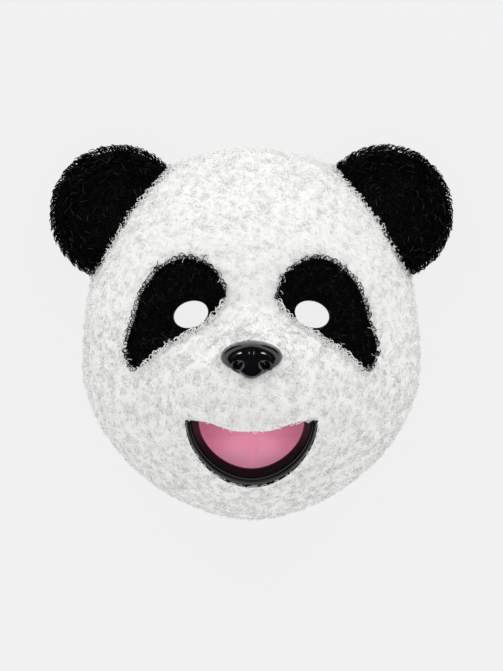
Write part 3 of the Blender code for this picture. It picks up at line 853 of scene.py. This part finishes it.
def bent_paths(roots, start, towards, sideways, radius, sweep, drift, points, tighten=0.25):
    """Paths (curls, points, 3): each leaves its root along start, circles a centre that lies towards the
    second direction through the angle sweep, and drifts sideways. Its circle tightens on the way."""
    share = np.linspace(0, 1, points)[None, :, None]
    angle = sweep[:, None, None] * share
    reach = radius[:, None, None] * (1 - tighten * share)
    centre = roots + towards * radius[:, None]
    turning = np.sin(angle) * start[:, None, :] - np.cos(angle) * towards[:, None, :]
    return centre[:, None, :] + reach * turning + share * drift[:, None, None] * sideways[:, None, :]


def curl_tubes(name, paths, thickness, material, tone_and_painted_light):
    """One mesh of closed tubes: three sides round each path, a flat foot and a pointed tip. Its colour
    attribute runs from dark at the foot to light at the tip, which paints the shade among the roots."""
    curls, points = paths.shape[:2]
    way = np.gradient(paths, axis=1)
    way /= np.linalg.norm(way, axis=2, keepdims=True) + 1e-12
    flat = np.cross(way[:, 0], way[:, points // 2])
    flat /= np.linalg.norm(flat, axis=1, keepdims=True) + 1e-12
    out = np.cross(way, flat[:, None, :])
    out /= np.linalg.norm(out, axis=2, keepdims=True) + 1e-12
    up = np.cross(out, way)
    rings = points - 1
    share = np.linspace(0, 1, points)[:rings]
    width = thickness[:, None] * (1 - 0.45 * share**3)[None, :]
    corners = []
    for corner in range(3):
        angle = math.tau * corner / 3
        offset = math.cos(angle) * out[:, :rings] + math.sin(angle) * up[:, :rings]
        corners.append(paths[:, :rings] + offset * width[..., None])
    body = np.stack(corners, axis=2).reshape(curls, rings * 3, 3)
    vertices = np.concatenate([body, paths[:, -1:]], axis=1)
    per_curl = rings * 3 + 1
    quads = grid_quads(rings, 3)
    low, tip = (rings - 1) * 3, per_curl - 1
    tris = np.array([[0, 1, 2], [low, tip, low + 1], [low + 1, tip, low + 2], [low + 2, tip, low]])
    first = (np.arange(curls) * per_curl)[:, None, None]
    quads = (quads[None] + first).reshape(-1, 4)
    tris = (tris[None] + first).reshape(-1, 3)
    fade = np.concatenate([np.repeat(share, 3), [1.0]])
    # Painted shade: each curl's colour darkens towards its foot
    shade = np.clip(tone_and_painted_light[:, None] * (0.3 + 0.7 * np.sqrt(fade)), 0, 1)
    return new_piece(name, vertices.reshape(-1, 3), quads, tris, material, shade.ravel())


# %% Room for the hard pieces


def push_out(paths, middle, halves, slant=0.0, power=2.0):
    """Moves what lies inside an upright oval tube out to its wall, straight away from its middle."""
    c, s = math.cos(slant), math.sin(slant)
    dx, dy = paths[..., 0] - middle[0], paths[..., 1] - middle[1]
    u, v = dx * c + dy * s, -dx * s + dy * c
    share = ((np.abs(u) / halves[0]) ** power + (np.abs(v) / halves[1]) ** power) ** (1 / power)
    factor = np.where(share < 1, 1 / np.maximum(share, 0.05), 1.0)
    u, v = u * factor, v * factor
    moved = paths.copy()
    moved[..., 0] = middle[0] + u * c - v * s
    moved[..., 1] = middle[1] + u * s + v * c
    return moved


NOSE_CLEAR = 0.95  # share of the nose and of the lip that stays clear of curls
LIP_CLEAR = 0.985


def clear_of_openings(paths):
    """Keeps curls out of the eye holes, and lets them lie only over the very edge of the nose and the lip."""
    for _, side in SIDES:
        halves = (EYE_HALF_LONG + EYE_TRIM + 0.3 * MM, EYE_HALF_SHORT + EYE_TRIM + 0.3 * MM)
        paths = push_out(paths, (side * EYE_X, EYE_Y), halves, -side * EYE_SLANT)
    nose_halves = (NOSE_CLEAR * NOSE_HALF_WIDTH, NOSE_CLEAR * NOSE_WIDE_HEIGHT)
    paths = push_out(paths, (0.0, NOSE_MIDDLE_Y), nose_halves)
    below = paths[:, :1, 1] < MOUTH_Y
    lip_halves = (LIP_CLEAR * LIP_OUTER[0], LIP_CLEAR * LIP_OUTER[1])
    pushed = push_out(paths, (0.0, MOUTH_Y), lip_halves, power=MOUTH_POWER)
    hangs = paths[:, :1, 1] > MOUTH_Y - 7.5 * MM
    paths = np.where((below & ~hangs)[..., None], pushed, paths)
    paths[..., 2] = np.maximum(paths[..., 2], FLOOR_CLEAR)
    return paths


# %% Curls of the face
ROOT_LIFT = 6.7 * MM
FLOOR_CLEAR = 0.5 * MM
NAP = 0.9 * MM  # how far the pile leans towards the crown
POINTS_A_CURL = 8
CALM_Y = 0.022  # above this height on the face the pile lies calm
CALM_RUN = 0.030


def lower_face(y):
    """0 on the forehead and 1 below the eyes, with a smooth change between them."""
    return smooth_step((CALM_Y - y) / CALM_RUN)


def liveliness(x, y):
    """0 where the pile lies calm and fine, and 1 where it stands in open rings: on the lower face, near the
    rim and round the eye patches."""
    lower = lower_face(y)
    rim = smooth_step((share_across(x, y) - 0.80) / 0.25)
    near = np.minimum(distance_to(patch_outline(-1), x, y), distance_to(patch_outline(1), x, y))
    return np.clip(0.10 + lower + rim + smooth_step(1 - near / 0.006), 0, 1)


def painted_black_glints(rng, count):
    """Painted glints: most black curls stay nearly black, and a few get a lighter colour that stands for the
    light they would catch.
    """
    return 0.02 + 0.98 * rng.uniform(size=count) ** 6


def add_curls(name, paths, thickness, material, rng):
    """Adds curls as one piece of the face, with a colour attribute for them. Black curls get painted glints,
    and white curls a tone that differs at random, more on the lower face.
    """
    white = material == white_curl
    tone_and_painted_light = painted_black_glints(rng, len(paths))
    if white:
        unevenness = 0.10 + 0.60 * lower_face(paths[:, 0, 1])
        tone_and_painted_light = 1.0 - unevenness * rng.uniform(size=len(paths))
    piece = curl_tubes(name, clear_of_openings(paths), thickness, material, tone_and_painted_light)
    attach(piece, "root")
    return piece


def face_curls(name, roots, normals, seed, material):
    """Rings and hooks for the roots of one area of the face."""
    rng = np.random.default_rng(seed)
    count = len(roots)
    lively = liveliness(roots[:, 0], roots[:, 1])
    along, beside = turned_frames(normals, rng.uniform(0, math.tau, count))
    ring = rng.uniform(size=count) < 0.75
    tilt = (rng.uniform(0.1, 1.0, count) * np.radians(30 + 45 * lively))[:, None]
    axis = normals * np.cos(tilt) + beside * np.sin(tilt)
    lean = (rng.uniform(0, 1, count) * np.radians(80 - 30 * lively))[:, None]
    upright = normals * np.cos(lean) + beside * np.sin(lean)
    start = np.where(ring[:, None], along, upright)
    towards = np.where(ring[:, None], np.cross(axis, along), along)
    sideways = np.where(ring[:, None], axis, np.cross(upright, along))
    radius = (1.0 + 0.6 * lively) * rng.uniform(0.75, 1.25, count) * MM
    radius = np.where(ring, radius, radius * 1.4)
    sweep = np.where(ring, rng.uniform(4.6, 7.0, count), rng.uniform(2.6, 4.2, count))
    rise = (1.3 + 1.2 * lively) * rng.uniform(0.7, 1.5, count) * MM
    drift = np.where(ring, rise, rng.uniform(-1.0, 1.0, count) * MM)
    paths = bent_paths(roots, start, towards, sideways, radius, sweep, drift, POINTS_A_CURL)
    paths[..., 1] += NAP * np.linspace(0, 1, POINTS_A_CURL)
    thickness = (0.22 + 0.05 * lively) * rng.uniform(0.85, 1.15, count) * MM
    add_curls(name, paths, thickness, material, rng)


def edge_rings(name, roots, normals, outward, seed, material, size=1.6 * MM):
    """A row of open rings along an edge. Each starts in its own pile and loops outward over what lies
    beyond."""
    rng = np.random.default_rng(seed)
    count = len(roots)
    outward = outward - normals * (outward * normals).sum(axis=1, keepdims=True)
    outward /= np.linalg.norm(outward, axis=1, keepdims=True)
    turn = rng.normal(0, 0.55, count)[:, None]
    raised = rng.uniform(0.0, 0.7, count)[:, None]
    level = outward * np.cos(turn) + np.cross(normals, outward) * np.sin(turn)
    towards = level * np.cos(raised) + normals * np.sin(raised)
    start = np.cross(normals, level) * rng.choice([-1, 1], count)[:, None]
    radius = size * rng.uniform(0.6, 1.15, count)
    sweep = rng.uniform(3.6, 6.4, count)
    drift = rng.uniform(0.2, 1.2, count) * MM
    paths = bent_paths(roots, start, towards, normals, radius, sweep, drift, 10)
    add_curls(name, paths, rng.uniform(0.22, 0.32, count) * MM, material, rng)


# %% White curls
WHITE_SPACING = 1.98 * MM
BLACK_SPACING = 1.80 * MM
CROWN_Y = 0.030
MUZZLE_MIDDLE_Y = -0.040
MUZZLE_HALVES = (0.055, 0.042)
roots, normals = scatter_on_face(WHITE_SPACING, ROOT_LIFT, 11)
x, y = roots[:, 0], roots[:, 1]
keep = np.ones(len(roots), dtype=bool)
for outline in cloth_openings:
    keep &= ~inside(outline, x, y)
for side_name, side in SIDES:
    away = ear_share(side, roots)
    keep &= away > 0.97
    edge = (away > 0.99) & (away < 1.13)
    towards_ear = np.array([side * EAR_X, EAR_Y, EAR_Z]) - roots[edge]
    raised = roots[edge] + normals[edge] * 1.2 * MM
    edge_rings(f"ear_edge_curls_{side_name}", raised, normals[edge], towards_ear, 30 + side, white_curl)
roots, normals = roots[keep], normals[keep]
x, y = roots[:, 0], roots[:, 1]
muzzle = np.hypot(x / MUZZLE_HALVES[0], (y - MUZZLE_MIDDLE_Y) / MUZZLE_HALVES[1]) < 1
areas = (
    ("muzzle_curls", muzzle),
    ("crown_curls_left", ~muzzle & (y > CROWN_Y) & (x < 0)),
    ("crown_curls_right", ~muzzle & (y > CROWN_Y) & (x >= 0)),
    ("cheek_curls_left", ~muzzle & (y <= CROWN_Y) & (x < 0)),
    ("cheek_curls_right", ~muzzle & (y <= CROWN_Y) & (x >= 0)),
)
for number, (name, chosen) in enumerate(areas):
    face_curls(name, roots[chosen], normals[chosen], 20 + number, white_curl)

# %% Black curls round the eyes
roots, normals = scatter_on_face(BLACK_SPACING, ROOT_LIFT, 13)
for number, (side_name, side) in enumerate(SIDES):
    x, y = roots[:, 0], roots[:, 1]
    chosen = inside(patch_outline(side), x, y) & ~inside(eye_outline(side, 0.2 * MM), x, y)
    face_curls(f"patch_curls_{side_name}", roots[chosen], normals[chosen], 40 + number, black_curl)

# %% Rings along the edges


def spaced(outline, spacing, rng):
    """Points along a closed outline, about spacing apart, with the direction that points out of it."""
    loop = np.concatenate([outline, outline[:1]])
    steps = np.diff(loop, axis=0)
    length = np.concatenate([[0], np.cumsum(np.linalg.norm(steps, axis=1))])
    count = int(length[-1] / spacing)
    marks = (np.arange(count) + rng.uniform(0.0, 1.0, count)) * length[-1] / count
    step = steps[np.clip(np.searchsorted(length, marks) - 1, 0, len(steps) - 1)]
    step /= np.linalg.norm(step, axis=1, keepdims=True)
    return np.interp(marks, length, loop[:, 0]), np.interp(marks, length, loop[:, 1]), step[:, 1], -step[:, 0]


def on_pile(x, y, lift):
    """Points of the pile right over x and y, at a distance lift from the shell and deeper at the rim, with
    normals. The foot on the shell is found by taking off the sideways part of the lift a few times."""
    foot = np.stack([x, y], axis=-1)
    for _ in range(6):
        points = np.column_stack([foot, face_height(foot[:, 0], foot[:, 1])])
        normals = face_normal(points)
        share = np.minimum(share_across(foot[:, 0], foot[:, 1]), 1.0)
        deeper = RIM_PILE * share ** (RIM_PILE_POWER * DOME_POWER / 2)
        points = points + normals * (lift + deeper)[:, None]
        foot = foot - (points[:, :2] - np.stack([x, y], axis=-1))
    return points, normals


for side_name, side in SIDES:
    rng = np.random.default_rng(50 + side)
    x, y, out_x, out_y = spaced(patch_outline(side), 0.95 * MM, rng)
    white = (out_y < -0.25) & (out_x * side < 0.2)
    inset = np.where(white, -1.5, 1.3) * MM
    x, y = x - inset * out_x, y - inset * out_y
    roots, normals = on_pile(x, y, ROOT_LIFT + rng.uniform(0.6, 2.2, len(x)) * MM)
    outward = np.stack([out_x, out_y, 0 * x], axis=-1)
    kinds = (
        ("patch_edge_curls", ~white, 1, 52, black_curl, 1.75 * MM),
        ("round_patch_curls", white, -1, 55, white_curl, 1.70 * MM),
    )
    for kind, own, way, seed, material, size in kinds:
        name = f"{kind}_{side_name}"
        edge_rings(name, roots[own], normals[own], way * outward[own], seed + side, material, size)

MOUTH_RINGS = 40
rng = np.random.default_rng(58)
share = np.linspace(-0.97, 0.97, MOUTH_RINGS) + rng.uniform(-0.02, 0.02, MOUTH_RINGS)
y = upper_edge(share, PLUSH_TOP, PLUSH_SAG) + 2.0 * MM
roots, normals = on_pile(share * LIP_OUTER[0], y, ROOT_LIFT + rng.uniform(-1.5, 1.0, MOUTH_RINGS) * MM)
downward = np.tile((0.0, -1.0, 0.0), (MOUTH_RINGS, 1))
edge_rings("mouth_edge_curls", roots, normals, downward, 59, white_curl, 0.8 * MM)

# %% [markdown]
# ## Ears
# Each ear is a stuffed pad, round and thickest in the middle, sewn to the side of the face near the rim. The
# pad is puffed up by cloth pressure and then trimmed to the plush that it is sewn to. Its hair is longer
# than the curls of the face and bends one way round the ear, so hooks show all along its outline.

# %% Ear pads


def head_block():
    """A solid block that fills the head up to the top of its cloth, from below the floor."""
    turn = np.linspace(0, math.tau, 144, endpoint=False)[None, :]
    rise = np.linspace(0, rise_at(0.002), 41)[1:, None]
    points = face_point(turn, np.broadcast_to(rise, (40, 144)))
    normals = face_normal(points)
    top = points + normals * (CLOTH_TOP + 0.6 * MM + fan_out(rise)[..., None])
    foot = (top * (1, 1, 0) - (0, 0, 0.05))[::-1]
    pole = np.array([0.0, WIDEST_Y, face_height(np.array(0.0), np.array(WIDEST_Y)) + CLOTH_TOP])
    pole_foot = pole * (1, 1, 0) - (0, 0, 0.05)
    return capped_rings("head_block", np.concatenate([top, foot]), pole, pole_foot, None)


def vertex_places(mesh):
    """The vertices of a mesh as an array."""
    flat = np.zeros(len(mesh.vertices) * 3, dtype=np.float32)
    mesh.vertices.foreach_get("co", flat)
    return flat.reshape(-1, 3).astype(float)


def puff_up(piece, middle, voxel, pressure, most):
    """Swells a closed pad by cloth pressure. No point moves further than most. Pressure rounds the pad, which
    draws its edge in, so it is then widened about its middle to the ear's radius."""
    remesh = piece.modifiers.new("even", "REMESH")
    remesh.mode = "VOXEL"
    remesh.voxel_size = voxel
    bake(piece)
    before = vertex_places(piece.data)
    cloth = piece.modifiers.new("puff", "CLOTH")
    cloth.settings.use_pressure = True
    cloth.settings.uniform_pressure_force = pressure
    cloth.settings.mass = POINT_MASS
    cloth.settings.tension_stiffness = STRETCH
    cloth.settings.compression_stiffness = STRETCH
    cloth.settings.shear_stiffness = STRETCH / 3
    cloth.settings.bending_stiffness = 0.01
    cloth.settings.effector_weights.gravity = 0.0
    for number in range(1, 21):
        scene.frame_set(number)
    bake(piece)
    scene.frame_set(1)
    move = vertex_places(piece.data) - before
    length = np.linalg.norm(move, axis=1, keepdims=True)
    settled = before + move * np.minimum(1.0, most / np.maximum(length, 1e-9))
    away = settled[:, :2] - middle[:2]
    settled[:, :2] = middle[:2] + away * (EAR_RADIUS - PAD_INSET) / np.abs(away).max()
    piece.data.vertices.foreach_set("co", settled.astype(np.float32).ravel())
    smoother = piece.modifiers.new("smoother", "SUBSURF")
    smoother.levels = 1
    bake(piece)
    print(f"{piece.name}: pressure moved it {length.mean() / MM:.1f} mm on average before the cap")


PAD_INSET = 0.3 * MM
PUFF_ROOM = 0.8 * MM
POINT_MASS = 0.001  # kilograms of cloth at each point
STRETCH = 0.3  # stiffness of the pad's cloth, low enough to swell at this small size
block = head_block()
for side_name, side in SIDES:
    turn = np.linspace(0, math.tau, 96, endpoint=False)[None, :]
    rise = np.broadcast_to(np.linspace(0, math.pi, 34)[1:-1, None], (32, 96))
    inset = PAD_INSET + PUFF_ROOM
    middle = np.array([side * EAR_X, EAR_Y, EAR_Z])
    top = middle + (0, 0, EAR_FRONT - inset)
    bottom = middle - (0, 0, EAR_BACK - inset)
    pad = capped_rings(f"ear_pad_{side_name}", ear_point(side, turn, rise, inset), top, bottom, black_cloth)
    puff_up(pad, middle, 4 * MM, 4.0, 2.2 * MM)
    trim = pad.modifiers.new("trim", "BOOLEAN")
    trim.operation = "DIFFERENCE"
    trim.object = block
    bake(pad)
    pad.data.shade_smooth()
    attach(pad, "root")
    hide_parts(f"ear_{side_name}")
bpy.data.objects.remove(block)

# %% Ear hair


def inside_head(points, lift):
    """True for points under the plush, whose top lies at lift from the face and deeper at the rim."""
    x, y, z = np.moveaxis(points, -1, 0)
    above = y >= WIDEST_Y
    reach = np.where(above, CROWN_RISE, CHIN_DROP) + lift + RIM_PILE
    power = np.where(above, CROWN_POWER, CHIN_POWER)
    across = (np.abs(x) / (HALF_WIDTH + lift + RIM_PILE)) ** power + (np.abs(y - WIDEST_Y) / reach) ** power
    dome = (np.maximum(z - swell(x, y), 0) / (DOME_HEIGHT + lift)) ** DOME_POWER
    return across ** (DOME_POWER / power) + dome < 1


EAR_HAIRS = 3800
for number, (side_name, side) in enumerate(SIDES):
    rng = np.random.default_rng(60 + number)
    rise = np.arccos(rng.uniform(-0.9, 1.0, EAR_HAIRS))
    turn = rng.uniform(0, math.tau, EAR_HAIRS)
    roots = ear_point(side, turn, rise, PAD_INSET + 0.3 * MM)
    seen = ~inside_head(roots, CLOTH_TOP)
    roots, rise, turn = roots[seen], rise[seen], turn[seen]
    count = len(roots)
    normals = ear_normal(side, roots)
    round_way = np.stack([-np.sin(turn), np.cos(turn), 0 * turn], axis=1) * -side
    along, beside = turned_frames(normals, rng.uniform(0, math.tau, count))
    along = along + 1.3 * round_way
    along -= normals * (along * normals).sum(axis=1, keepdims=True)
    along /= np.linalg.norm(along, axis=1, keepdims=True)
    lean = rng.uniform(0, math.radians(40), count)[:, None]
    upright = normals * np.cos(lean) + beside * np.sin(lean)
    radius = rng.uniform(1.8, 4.2, count) * MM
    sweep = np.minimum(rng.uniform(1.3, 3.2, count), 8.0 * MM / radius)
    drift = rng.uniform(-0.8, 0.8, count) * MM
    paths = bent_paths(roots, upright, along, np.cross(upright, along), radius, sweep, drift, 7)
    paths[..., 2] = np.maximum(paths[..., 2], FLOOR_CLEAR)
    thickness = rng.uniform(0.24, 0.34, count) * MM
    # The ear hair's colour attribute paints glints on a few hairs and shade at their roots
    hair = curl_tubes(f"ear_hair_{side_name}", paths, thickness, black_curl, painted_black_glints(rng, count))
    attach(hair, "root")

# %% [markdown]
# ## Nose
# The nose is one hard glossy moulding. Its outline is a wide oval with a narrower lobe below, its front
# swells into two soft halves that each catch the light, and two nostrils sink in beside the lobe.

# %% Nose
NOSE_RISE = 10.5 * MM
NOSE_LEVEL = 0.40
NOSE_SIDE = 6.5 * MM  # how high the nose's edge stands over the shell


def oval_reach(angle, middle_y, half_width, half_height):
    """Distance from the origin along angle to an upright oval with its middle at (0, middle_y)."""
    c, s = np.cos(angle), np.sin(angle)
    a = (c / half_width) ** 2 + (s / half_height) ** 2
    b = -2 * s * middle_y / half_height**2
    k = (middle_y / half_height) ** 2 - 1
    return (-b + np.sqrt(b * b - 4 * a * k)) / (2 * a)


def bell(x, y, middle, halves, turn=0.0, power=2.0):
    """A smooth hump of height 1 on a turned oval."""
    dx, dy = x - middle[0], y - middle[1]
    u = dx * math.cos(turn) + dy * math.sin(turn)
    v = -dx * math.sin(turn) + dy * math.cos(turn)
    return np.exp(-((u / halves[0]) ** 2 + (v / halves[1]) ** 2) ** (power / 2))


def nose_front(x, y, share):
    """Height of the nose's front over its foot: a dome, two soft halves, the lobe, the nostrils, and above
    its middle a rise that makes up for part of the muzzle's slope."""
    height = NOSE_RISE * np.sqrt(np.maximum(1 - share**5.5, 0.0))
    ax = np.abs(x)
    height = height + 0.7 * MM * bell(ax, y, (4.3 * MM, 0.9 * MM), (5.0 * MM, 4.5 * MM)) * (1 - share**4)
    height = height - 2.6 * MM * smooth_step((-y - 4.6 * MM + 0.3 * ax) / (4.5 * MM)) * (1 - share**6)
    height = height + 1.2 * MM * bell(ax, y, (11.0 * MM, -5.0 * MM), (2.6 * MM, 2.6 * MM)) * (1 - share**6)
    height = height - 5.5 * MM * bell(ax, y, (8.0 * MM, -4.6 * MM), (3.6 * MM, 2.4 * MM), -0.7)
    height = height - 0.8 * MM * bell(ax, y, (0.0, 5.0 * MM), (2.0 * MM, 5.0 * MM))
    return height + NOSE_LEVEL * (np.hypot(y, 2.0 * MM) + y) / 2 * (1 - share**6)


columns, rows = 128, 40
turn = np.linspace(0, math.tau, columns, endpoint=False)[None, :]
share = np.sin(np.linspace(0, QUARTER, rows + 1))[1:, None]
wide = oval_reach(turn, 0.0, NOSE_HALF_WIDTH, NOSE_WIDE_HEIGHT)
lobe = oval_reach(turn, -4.6 * MM, 7.6 * MM, 7.6 * MM)
edge = (wide**14 + lobe**14) ** (1 / 14)
nose_x = share * edge * np.cos(turn)
nose_y = share * edge * np.sin(turn)
foot = face_height(nose_x, nose_y + NOSE_MIDDLE_Y)
front = foot + NOSE_SIDE + nose_front(nose_x, nose_y, share)
sheet = np.stack([nose_x, nose_y + NOSE_MIDDLE_Y, front], axis=-1)
back = np.stack([nose_x, nose_y + NOSE_MIDDLE_Y, foot + GAP], axis=-1)[::-1]
level = np.array(0.0)
middle_foot = float(face_height(level, level + NOSE_MIDDLE_Y))
middle_top = middle_foot + NOSE_SIDE + float(nose_front(level, level, level))
tip = (0, NOSE_MIDDLE_Y, middle_top)
seat = (0, NOSE_MIDDLE_Y, middle_foot + GAP)
nose = capped_rings("nose_button", np.concatenate([sheet, back]), tip, seat, black_gloss)
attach(nose, "root")
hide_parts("nose")

# %% [markdown]
# ## Lip and mouth
# The lip is a profile carried round the smile from corner to corner: a broad bead outside, a fine ridge,
# and a wall that falls to the tongue. The lining is a shallow bowl behind it, with a tongue in two soft
# halves and a palate that runs up under the plush.

# %% Lip
# Corners of the profile: how far from the outer edge (0) over the ridge (1) to the inner edge (2), and the
# height over the shell in millimetres
LIP_PROFILE = (
    (0.00, 0.5),
    (-0.02, 4.5),
    (0.00, 9.4),
    (0.10, 12.0),
    (0.30, 13.5),
    (0.58, 13.7),
    (0.84, 13.1),
    (0.95, 13.2),
    (1.05, 13.1),
    (1.16, 12.5),
    (1.36, 10.2),
    (1.66, 6.4),
    (1.90, 3.4),
    (1.97, 0.5),
    (1.60, -0.4),
    (0.80, 0.5),
)


def lip_across(angle, across):
    """Plan points of the lip at a share across it: between its outer edge, its ridge and its inner edge."""
    outer, ridge, inner = (mouth_point(curve, angle) for curve in (LIP_OUTER, LIP_RIDGE, LIP_INNER))
    first = outer + (ridge - outer) * np.minimum(across, 1.0)[..., None]
    return first + (inner - ridge) * np.maximum(across - 1.0, 0.0)[..., None]


profile = closed_curve(LIP_PROFILE, 3)
angle, across = np.meshgrid(np.linspace(0, math.pi, 141), profile[:, 0], indexing="ij")
plan = lip_across(angle, across)
height = face_height(plan[..., 0], plan[..., 1]) + np.maximum(profile[:, 1] * MM, GAP)
rings = np.concatenate([plan, height[..., None]], axis=-1)[:, ::-1]
lip = capped_rings("lip_bead", rings, rings[0].mean(axis=0), rings[-1].mean(axis=0), lip_gloss)
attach(lip, "root")
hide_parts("lip")

# %% Tongue and palate
PALATE_FOOT_Y = -0.0600
PALATE_SLOPE = 1.75
TONGUE_FLOOR = 0.0585
LINING_LAND = 2.5 * MM
LINING_THICK = 2.4 * MM


def lining_height(x, y, share):
    """Height of the lining's front: flat against the shell round its edge, and inside that a tongue in two
    soft halves, with a crease between them, and a palate that slopes up to the plush."""
    edge = face_height(x, y) - LINING_LAND
    crease = 1.5 * MM * np.exp(-((x / (3.0 * MM)) ** 2)) * smooth_step((y + 0.080) / 0.012)
    halves = 2.2 * MM * bell(np.abs(x), y, (10 * MM, -0.068), (9 * MM, 9 * MM))
    tongue = TONGUE_FLOOR + 2.2 * MM * smooth_step((PALATE_FOOT_Y - y) / 0.014) + halves - crease
    palate = tongue + np.maximum(y - PALATE_FOOT_Y, 0.0) * PALATE_SLOPE
    hollow = np.minimum(edge, palate)
    return edge + (hollow - edge) * smooth_step((1 - share) / 0.22)


columns, rows = 128, 40
turn = np.linspace(-math.pi, math.pi, columns, endpoint=False) + math.pi / columns
rim_below = mouth_point(LINING_EDGE, -turn)
rim_above = np.stack([LINING_EDGE[0] * np.cos(turn), MOUTH_Y + 0.004 * np.sin(turn)], axis=-1)
rim = np.where((np.sin(turn) < 0)[:, None], rim_below, rim_above)
heart = np.array([0.0, MOUTH_Y - 0.012])
share = np.sin(np.linspace(0, QUARTER, rows + 1))[1:, None, None]
plan = heart + share * (rim[None] - heart)
height = lining_height(plan[..., 0], plan[..., 1], share[..., 0])
front = np.concatenate([plan, height[..., None]], axis=-1)
back = (front - (0, 0, LINING_THICK))[::-1]
deep = float(lining_height(np.array(0.0), np.array(heart[1]), np.array(0.0)))
sheets = np.concatenate([front, back])
below = (*heart, deep - LINING_THICK)
lining = capped_rings("tongue_and_palate", sheets, (*heart, deep), below, pink_satin)
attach(lining, "root")
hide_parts("mouth_lining")

# %% Strap
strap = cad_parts["head_strap"]
strap_material, strap_tree, strap_shader = new_material("white elastic", (0.85, 0.85, 0.83), 0.8)
where = add_node(strap_tree, "ShaderNodeTexCoord")
ribs = add_node(strap_tree, "ShaderNodeTexWave", {"Scale": 260.0}, {"Vector": where.outputs["Object"]})
weave = add_node(strap_tree, "ShaderNodeBump", {"Distance": 0.3 * MM}, {"Height": ribs.outputs["Fac"]})
strap_tree.links.new(weave.outputs["Normal"], strap_shader.inputs["Normal"])
strap.data.materials.clear()
strap.data.materials.append(strap_material)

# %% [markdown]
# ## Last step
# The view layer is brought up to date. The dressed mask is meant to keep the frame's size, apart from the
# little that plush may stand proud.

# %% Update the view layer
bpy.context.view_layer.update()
